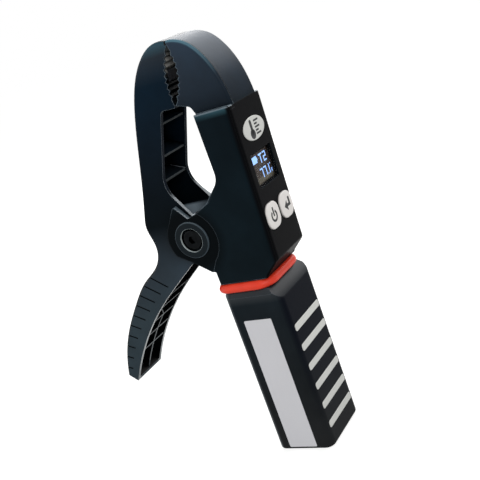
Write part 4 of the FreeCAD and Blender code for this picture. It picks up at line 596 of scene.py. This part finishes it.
# Inputs 2 and 3 are the least and the most of a plain number, and output 1 is that number.
turned = add(screw_tree, "FunctionNodeRandomValue", {2: 0.0, 3: 2 * math.pi, "Seed": given["Turn seed"]},
             data_type="FLOAT")
spin = add(screw_tree, "ShaderNodeCombineXYZ", {"Z": turned.outputs[1]})
spin = add(screw_tree, "FunctionNodeEulerToRotation", {0: spin.outputs[0]})
pose = add(screw_tree, "FunctionNodeRotateRotation", {0: given["Lean"], 1: spin.outputs[0]},
           rotation_space="LOCAL")
placed = add(screw_tree, "GeometryNodeInstanceOnPoints", {
    "Points": given["Geometry"], "Instance": blank.outputs["Geometry"], "Rotation": pose.outputs[0]})
end_tree(screw_tree, placed.outputs[0], given, result)

# Blackened steel is a thin dark oxide over bright metal, so it is near black with a clear gloss.
black_steel = metal("blackened steel", "#2a2e31", "#0e1011", 0.24, 700.0, 0.000004)
# Zinc plate is a pale, faintly blue grey with a soft mirror.
zinc = metal("zinc-plated steel", "#c3c6c6", "#8f9394", 0.3, 650.0, 0.000004)

FRONT = -Vector(next(j["axis"] for j in frame["joints"] if j["name"] == "power_press"))
FACE_UP = Vector((-FRONT.z, 0, FRONT.x))
FACE_MID = Vector((0.022464, 0, 0.150))     # on the front face, 150 mm above the base


def on_face(across, up, out=0.0):
    """A point on the front face, in millimetres across it, up it and out of it."""
    return FACE_MID + (Vector((0, across, 0)) + FACE_UP * up + FRONT * out) / 1000


# The screws' heads point to the far side, into the pod behind the board and down under the tray.
SUNK = 0.0026           # the counterbores' floors below the far side, which is this far out:
POD_SIDE, JAW_SIDE = 0.0178, 0.01285
for node, sizes, places, heads, finish, slot, seed in (
        ("cover_screws", (1.5, 22.4, 2.8, 1.8),
         [(0.0092, POD_SIDE - SUNK, 0.1836), (0.0114, POD_SIDE - SUNK, 0.1100),
          (-0.0098, POD_SIDE - SUNK, 0.1096), (-0.0005, POD_SIDE - SUNK, 0.1398),
          (0.0120, JAW_SIDE - SUNK, 0.2154)], Vector((0, 1, 0)), black_steel, "black_steel", 3),
        ("board_screws", (1.0, 3.3, 1.9, 1.2),
         [on_face(y, z, -7.2) for y in (-11.5, 11.5) for z in (-29.45, 29.45)], -FRONT, zinc, "zinc_steel", 5),
        ("tray_screws", (1.0, 5.9, 1.9, 1.2),
         [(0.0047, y, 0.0824) for y in (-0.009, 0.009)], Vector((0, 0, -1)), zinc, "zinc_steel", 9)):
    screw = cross_screw(node[:-1].replace("_", " "), *sizes)
    lean = heads.to_track_quat("Z", "Y").to_euler()
    piece = grown("turned_" + node, screw_tree, places, [],
                  {"Screw": screw, "Lean": lean, "Turn seed": seed, "Finish": finish})
    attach(piece, "root")
    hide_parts(node)
    bpy.data.objects.remove(screw)


# Circuit board with its radio, switches and sensor lead
# A glass-epoxy board under green solder mask stands behind the front face. A tinned can shields the radio,
# two dome switches sit under the button caps and a thin lead runs up to the sensor plate.

# Solder mask is a glossy green lacquer, over tracks drawn far coarser than the real ones so that they show.
solder_mask, tree, shader = new_material("green solder mask on glass epoxy")
place = add(tree, "ShaderNodeTexCoord").outputs["Object"]
laid = add(tree, "ShaderNodeMapping", {"Vector": place, "Rotation": (0.0, math.pi / 2, 0.0)})
tracks = add(tree, "ShaderNodeTexBrick", {
    "Vector": laid.outputs[0], "Scale": 1.0, "Mortar Size": 0.00022, "Brick Width": 0.0052,
    "Row Height": 0.0017, "Color1": linear("#12492a"), "Color2": linear("#0f4025"),
    "Mortar": linear("#2c6f42")}, offset=0.37)
weave = add(tree, "ShaderNodeTexNoise", {"Vector": place, "Scale": 1800.0, "Detail": 2.0})
bump = add(tree, "ShaderNodeBump", {"Height": tracks.outputs["Fac"], "Distance": 0.00003})
dull = add(tree, "ShaderNodeMapRange", {"Value": weave.outputs["Fac"], "To Min": 0.22, "To Max": 0.38})
fill(tree, shader, {"Base Color": tracks.outputs["Color"], "Roughness": dull.outputs[0],
                    "Normal": bump.outputs[0]})
dress("circuit_board", solder_mask)
# Tin plate over pressed steel: bright, pale and slightly orange-peeled.
dress("radio_module", metal("tinned steel can", "#c8cac9", "#a3a6a5", 0.28, 300.0, 0.000006))
# The switches' housings are small plain mouldings: an even, slightly shiny black.
switch_nylon = moulded("black glass-filled nylon of the switches", ((0.12, "#17181a"), (0.14, "#17181a")),
                       "#3a3d40", 0.4, 0.3, relief=0.000006)
dress("key_switches", switch_nylon)
# The lead's insulation is soft and faintly dusty, so its shine is broad.
dress("sensor_lead", insulated("grey and black PVC insulation", "#141517", "#3b3e42"))


# Display and its window
# A small glass-fronted module shows a reading in pale blue. A clear acrylic window, let into a ledge of the
# front face, covers it.

def flat_outlines(name, outlines, base, thick, material, body):
    """Thin flat shapes, each an outline in millimetres on the front face, standing thick above base."""
    shape = bmesh.new()
    for outline in outlines:
        low = [shape.verts.new(on_face(x, y, base)) for x, y in outline]
        high = [shape.verts.new(on_face(x, y, base + thick)) for x, y in outline]
        shape.faces.new(low[::-1])
        shape.faces.new(high)
        for i in range(len(low)):
            j = (i + 1) % len(low)
            shape.faces.new((low[i], low[j], high[j], high[i]))
    bmesh.ops.recalc_face_normals(shape, faces=shape.faces)
    bmesh.ops.triangulate(shape, faces=[f for f in shape.faces if len(f.verts) > 4])
    piece = object_of(name, shape, material)
    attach(piece, body)


def bar(x0, y0, x1, y1):
    """A rectangle between two corners."""
    return [(x0, y0), (x1, y0), (x1, y1), (x0, y1)]


# Unlit display glass is a warm grey-brown under its polariser, with its contacts along the lower edge under
# an olive-grey strip.
glass, tree, shader = new_material("display glass with polariser")
place = add(tree, "ShaderNodeTexCoord").outputs["Object"]
cloud = add(tree, "ShaderNodeTexNoise", {"Vector": place, "Scale": 120.0, "Detail": 2.0})
body = add(tree, "ShaderNodeMix", {"Factor": cloud.outputs["Fac"], 6: linear("#2e2622"), 7: linear("#3c332e")},
           data_type="RGBA")
fill(tree, shader, {"Base Color": body.outputs[2], "Roughness": 0.25, "Specular IOR Level": 0.1})
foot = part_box("oled_module")[0].z
repaint(tree, "#5a564a", (surface_of(tree).z, foot + 0.0052, foot + 0.0044))
dress("oled_module", glass)

# The lit cells glow a pale sky blue.
lit, tree, shader = new_material("lit display cells")
fill(tree, shader, {"Base Color": linear("#203850"), "Roughness": 0.3, "Emission Color": linear("#8fbcff"),
                    "Emission Strength": 1.35})

GLASS = -2.3            # the module's front glass below the face, in millimetres
STROKE = 0.72
LINE_1, LINE_2, FIGURE = 5.9, -1.2, 5.0     # the feet of the two lines, and the height of a figure


def seven(x, y, wide, parts):
    """Bars of a seven-part figure whose lower left corner is (x, y); parts name the bars that are lit."""
    s, mid, high = STROKE, FIGURE / 2, FIGURE
    bars = {"a": bar(x, y + high - s, x + wide, y + high), "b": bar(x + wide - s, y + mid, x + wide, y + high),
            "c": bar(x + wide - s, y, x + wide, y + mid), "d": bar(x, y, x + wide, y + s),
            "e": bar(x, y, x + s, y + mid), "f": bar(x, y + mid, x + s, y + high),
            "g": bar(x, y + mid - s / 2, x + wide, y + mid + s / 2)}
    return [bars[part] for part in parts]


reading = [part for x, parts in ((-2.6, "abc"), (1.2, "abc"), (4.5, "bc"))
           for part in seven(x, LINE_2, 2.9, parts)]
point_and_unit = [bar(4.9, -1.2, 5.6, -0.5), bar(8.4, 3.1, 9.1, 3.8), bar(8.7, -1.2, 9.2, 0.8),
                  bar(9.2, 0.4, 10.1, 0.8), bar(9.2, -0.6, 9.8, -0.2)]
channel = [bar(-0.2, 10.1, 3.4, 10.9), bar(1.2, 5.9, 2.0, 10.1)] + seven(4.3, LINE_1, 3.1, "abged")
cell_sign = [bar(-7.8, 7.4, -2.5, 11.0), bar(-2.5, 8.5, -1.9, 9.9)]
flat_outlines("display_reading", reading + point_and_unit + channel + cell_sign, GLASS - 0.04, 0.06,
              lit, "root")

# Clear acrylic with a trace of smoke tint: it lets nearly all through and mirrors the room faintly.
acrylic, tree, shader = new_material("smoke-tinted acrylic")
place = add(tree, "ShaderNodeTexCoord").outputs["Object"]
swirl = add(tree, "ShaderNodeTexNoise", {"Vector": place, "Scale": 90.0, "Detail": 1.0})
dull = add(tree, "ShaderNodeMapRange", {"Value": swirl.outputs["Fac"], "To Min": 0.05, "To Max": 0.10})
fill(tree, shader, {"Base Color": linear("#4a423d"), "Roughness": dull.outputs[0],
                    "Specular IOR Level": 0.25, "Alpha": 0.03})
dress("display_window", acrylic)


# Button caps
# Two caps in warm light grey ABS stand under the window, one for power and one for going back.
# Their signs are pad printed in black on the crowned tops.

# ABS from a lightly blasted mould: a soft, even shine that shows the crown of each cap.
cap_abs = moulded("warm light grey ABS", ((0.12, "#dbd7d4"), (0.14, "#e2dedb")), "#f2efec", 0.42, 0.4,
                  grain=0.0009, relief=0.000008, edge_width=0.0003, drift=0.03)
dress("power_button", cap_abs)
dress("return_button", cap_abs)

# Pad-printing ink lies in a thin satin film and is a soft black.
ink = moulded("black pad-printing ink", ((0.12, "#15171a"), (0.18, "#15171a")), "#2a2d30", 0.5, 0.3,
              relief=0.000004, edge_width=0.0001, drift=0.1)
CAP_TOP = 0.9
INK, SEATED = 0.05, 0.02        # the film's thickness, and how deep it starts, in millimetres


def arc_band(x, y, radius, wide, first, last, steps=28):
    """A curved stroke of a given width, from one angle to another in degrees."""
    return (arc(x, y, radius + wide / 2, first, last, steps)
            + arc(x, y, radius - wide / 2, first, last, steps)[::-1])


flat_outlines("power_sign", [arc_band(-7.8, -19.8, 2.6, 1.2, 124, 416), bar(-8.45, -20.0, -7.15, -15.2)],
              CAP_TOP - SEATED, INK, ink, "power")
flat_outlines("return_sign", [[(4.6, -20.1), (7.9, -17.3), (7.9, -19.3), (9.7, -19.3), (9.7, -16.2),
                               (11.4, -16.2), (11.4, -20.9), (7.9, -20.9), (7.9, -22.9)]],
              CAP_TOP - SEATED, INK, ink, "return")


# Badge
# A light oval plate let into the top of the front face. It carries a plain thermometer sign: a bulb, a tube
# and the marks of its scale, printed in black inside a raised rim.

# Sprayed paint fills the mould's texture, so the plate is smooth and a little glossier than the caps.
badge_paint = moulded("painted light grey plate", ((0.16, "#c6c7c3"), (0.182, "#cccdc9")), "#e2e3df",
                      0.4, 0.4, grain=0.0008, relief=0.000008, edge_width=0.0005, drift=0.03)
dress("badge_plate", badge_paint)
BADGE_UP, BADGE_TOP = 24.5, 0.4

bulb = arc(-2.6, BADGE_UP - 2.6, 2.5, 0, 360, 28)[:-1]
stem = arc(-2.6, BADGE_UP + 3.6, 1.1, 0, 180, 12) + arc(-2.6, BADGE_UP - 2.0, 1.1, 180, 360, 12)
flat_outlines("badge_sign", [bulb, stem], BADGE_TOP - SEATED, INK, ink, "root")

# The scale's marks, one at each point of a line, every second one longer.
mark_tree, given, result = make_tree("scale marks", (
    ("Long", "NodeSocketFloat", 0.0048), ("Short", "NodeSocketFloat", 0.0030),
    ("Wide", "NodeSocketFloat", 0.0009), ("Thick", "NodeSocketFloat", 0.00005),
    ("Lean", "NodeSocketRotation", None), ("Finish", "NodeSocketMaterial", None)))
order = add(mark_tree, "GeometryNodeInputIndex")
odd = add(mark_tree, "ShaderNodeMath", {0: order.outputs[0], 1: 2.0}, operation="MODULO")
ratio = add(mark_tree, "ShaderNodeMath", {0: given["Short"], 1: given["Long"]}, operation="DIVIDE")
length = add(mark_tree, "ShaderNodeMapRange", {"Value": odd.outputs[0], "To Min": 1.0,
                                               "To Max": ratio.outputs[0]})
size = add(mark_tree, "ShaderNodeCombineXYZ", {"X": given["Long"], "Y": given["Wide"], "Z": given["Thick"]})
tick = add(mark_tree, "GeometryNodeMeshCube", {"Size": size.outputs[0]})
half = add(mark_tree, "ShaderNodeMath", {0: given["Long"], 1: 0.5}, operation="MULTIPLY")
shift = add(mark_tree, "ShaderNodeCombineXYZ", {"X": half.outputs[0]})
tick = add(mark_tree, "GeometryNodeTransform", {"Geometry": tick.outputs["Mesh"],
                                                "Translation": shift.outputs[0]})
stretch = add(mark_tree, "ShaderNodeCombineXYZ", {"X": length.outputs[0], "Y": 1.0, "Z": 1.0})
placed = add(mark_tree, "GeometryNodeInstanceOnPoints", {
    "Points": given["Geometry"], "Instance": tick.outputs[0], "Rotation": given["Lean"],
    "Scale": stretch.outputs[0]})
end_tree(mark_tree, placed.outputs[0], given, result)
across_face = Matrix((Vector((0, 1, 0)), FACE_UP, FRONT)).transposed()
marks = grown("badge_scale", mark_tree,
              [on_face(0.9, BADGE_UP - 3.3 + 1.65 * i, BADGE_TOP + 0.005) for i in range(5)], [],
              {"Lean": across_face.to_euler(), "Finish": ink})
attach(marks, "root")


# Moving jaw with its pad
# One channel moulding is the jaw above the pivot and the squeeze lever below it, stiffened by ribs across
# its open side. The palm has polished the lever's end, whose paler slate colour is painted light.

# The same nylon as the head's, but handled: matt and near black above, painted a paler slate down the lever
# as painted light under a coat for the palm's polish; the wall tops by the hub get a painted highlight.
jaw_nylon = moulded("dark slate glass-filled nylon",
                    ((0.045, "#222e35"), (0.085, "#253239"), (0.110, "#212d36"), (0.122, "#172129"),
                     (0.138, "#040a0e"), (0.165, "#070f16"), (0.185, "#0a1722"), (0.228, "#061825")),
                    "#a4aeb5", 0.42, 0.022, grain=0.0012, relief=0.000022, edge_width=0.0006, drift=0.25,
                    wear_and_highlight=0.6, edge_marks_from=0.120, glare=(0.95, 0.126, 0.170, 0.0098),
                    polish=((0.045, 0.12), (0.110, 0.20), (0.126, 0.12), (0.137, 0.0), (0.210, 0.0),
                            (0.228, 0.35)))
tree = jaw_nylon.node_tree
at = surface_of(tree)
around = add(tree, "ShaderNodeAmbientOcclusion", {"Distance": 0.009}, samples=8, only_local=True).outputs["AO"]
CELLS_TOP = 0.197       # the ribs' cells end below the teeth
within, edge_on = (at.aside, "under", 0.0121), (at.aside, "over", 0.0098)
over_cells, lever, below_hub = (at.z, "over", CELLS_TOP), (at.z, "under", 0.122), (at.z, "under", 0.116)
forward, gap_side = (at.nx, 0.35, 0.75), (at.nx, 0.10, 0.25)
outward, inward = (at.nz, 0.15, 0.0), (at.nz, 0.05, 0.2)
walls, open_up = (at.sideways, 0.4, 0.7), (around, 0.50, 0.66)
# The cells between the ribs are deep and take no light, so they get painted shade, and so do the teeth in their
# gap.
repaint(tree, "#010203", (around, 0.62, 0.38), within, (at.z, "under", CELLS_TOP))
repaint(tree, "#05080a", over_cells, gap_side, within)
# Painted highlights make the teeth pale towards the tip, and the rims and ribs of the lever's open side.
repaint(tree, "#8f8e8a", (at.z, 0.2115, 0.2165), (at.z, 0.2235, 0.2205), forward, within)
repaint(tree, "#9ba0a2", (at.z, 0.116, 0.085, 0.15, 0.55), lever, forward, outward,
        (at.z, "over", 0.0525), open_up)
# Painted shade turns the ribs' upper faces and the walls inside the channel below the hub near black.
repaint(tree, "#010203", inward, gap_side, within, below_hub)
repaint(tree, "#010203", walls, within, below_hub)
repaint(tree, "#f4f8fa", (at.z, 0.050, 0.098, 0.30, 1.0), lever, edge_on, forward, outward)
# The rims beside the pipe are darkened with painted shade between the ribs' edges, which get a painted
# highlight, and a pale patch of painted light lies on the inside of the wall by the hub.
repaint(tree, "#0b1622", (at.z, "near", 0.1765, 0.0205), edge_on, forward, 0.85)
repaint(tree, "#3c4143", (at.z, "near", 0.1710, 0.0255), (at.aside, "under", 0.0098), forward, open_up)
repaint(tree, "#96a6b2", (at.z, 0.1413, 0.1398), (at.x, -0.0245, -0.0350, 0.15, 0.95),
        (at.z, "over", 0.128), walls, within)
# The lever's wall lies in the ear's shade just behind it.
behind_ear = reach_from(tree, at.place, (-0.0245, 0.0, 0.1095))
repaint(tree, "#020406", (behind_ear, 0.0090, 0.0060, 0.0, 0.9))
# The finger grooves across the lever's sides get painted shade on the side of each that faces up and on its
# wall.
slope = add(tree, "ShaderNodeMath", {0: at.nx, 1: at.nz}, operation="MULTIPLY").outputs[0]
sunk = add(tree, "ShaderNodeMath", {0: where(tree, (slope, 0.02, 0.10)), 1: where(tree, walls)},
           operation="MAXIMUM").outputs[0]
repaint(tree, "#03080b", (at.aside, "near", 0.01245, 0.00034), (at.z, "under", 0.118), sunk)
# The top edge by the tip is rounded and takes the light, up to the fine dark line where the jaws meet.
repaint(tree, "#24505f", (at.z, 0.2225, 0.2275, 0.0, 0.5), (at.nz, 0.90, 0.80))
repaint(tree, "#050608", (at.x, "over", -0.0013), (at.z, "over", 0.2262))
dress("moving_jaw", jaw_nylon)
# Hard rubber is matt, dense and slightly greyer than the plastic round it.
dress("jaw_pad", moulded("hard black rubber", ((0.2, "#15171b"), (0.22, "#191a20")), "#33363b", 0.66, 0.15,
                         grain=0.0009, relief=0.00003, drift=0.15))


# Sensor plate
# A small stainless plate set among the fixed jaw's teeth, pressed against the pipe. It is linished along
# its length, so the marks run across the jaw.

dress("sensor_plate", metal("linished stainless steel", "#b9b9b5", "#8f8f8c", 0.3, 1400.0, 0.000004,
                            stretch=(1.0, 0.06, 1.0)))


# Pivot
# A steel sleeve turns in the jaw's hub, and a socket screw through both ears clamps it with a nut in the far
# ear. The screw and the nut are blackened, the sleeve is zinc plated.

dress("pivot_barrel", zinc)
# The screw's head is polished before it is blackened, so it mirrors the lamps in small spots.
dress("pivot_screw", metal("polished black-oxide steel", "#1a1c1e", "#070808", 0.17, 700.0, 0.000003))
dress("pivot_nut", black_steel)


# Closing spring
# A torsion spring of hard-drawn wire wound round the hub, one leg down the head's wall and the other along
# the lever, whose pull keeps the jaws closed.

COIL, WIRE, PITCH = 6.3, 1.6, 2.15          # millimetres
TURN_END = 360 * 5 + 125                    # degrees
FIXED_LEG, LEVER_LEG = 18.0, 30.5
start_y = -PITCH * TURN_END / 720


def on_coil(degrees):
    """A point of the coil's middle line, in millimetres."""
    a = math.radians(degrees)
    return PIVOT * 1000 + Vector((COIL * math.cos(a), start_y + PITCH * degrees / 360, COIL * math.sin(a)))


def way_at(degrees):
    """The way in which the wire runs there."""
    a = math.radians(degrees)
    return Vector((-COIL * math.sin(a), PITCH / (2 * math.pi), COIL * math.cos(a))).normalized()


route = [on_coil(0) - way_at(0) * FIXED_LEG * (1 - i / 6) for i in range(6)]
route += [on_coil(TURN_END * i / 200) for i in range(201)]
route += [on_coil(TURN_END) + way_at(TURN_END) * LEVER_LEG * i / 10 for i in range(1, 11)]
wire_tree, given, result = make_tree("wire along a route", (
    ("Radius", "NodeSocketFloat", 0.0008), ("Sides", "NodeSocketInt", 14),
    ("Finish", "NodeSocketMaterial", None)))
line = add(wire_tree, "GeometryNodeMeshToCurve", {"Mesh": given["Geometry"]})
ring = add(wire_tree, "GeometryNodeCurvePrimitiveCircle", {"Resolution": given["Sides"],
                                                           "Radius": given["Radius"]})
tube = add(wire_tree, "GeometryNodeCurveToMesh", {"Curve": line.outputs[0], "Profile Curve": ring.outputs[0],
                                                  "Fill Caps": True})
smooth = add(wire_tree, "GeometryNodeSetShadeSmooth", {0: tube.outputs[0]})
end_tree(wire_tree, smooth.outputs[0], given, result)
# Hard-drawn wire has die marks along it under a film of oil: a dark, even, slightly silky grey.
drawn = metal("hard-drawn spring wire", "#85888a", "#55585a", 0.3, 800.0, 0.000004)
spring = grown("closing_spring", wire_tree, [point / 1000 for point in route],
               [(i, i + 1) for i in range(len(route) - 1)], {"Radius": WIRE / 2000, "Finish": drawn})
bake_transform(spring)
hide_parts("torsion_spring")
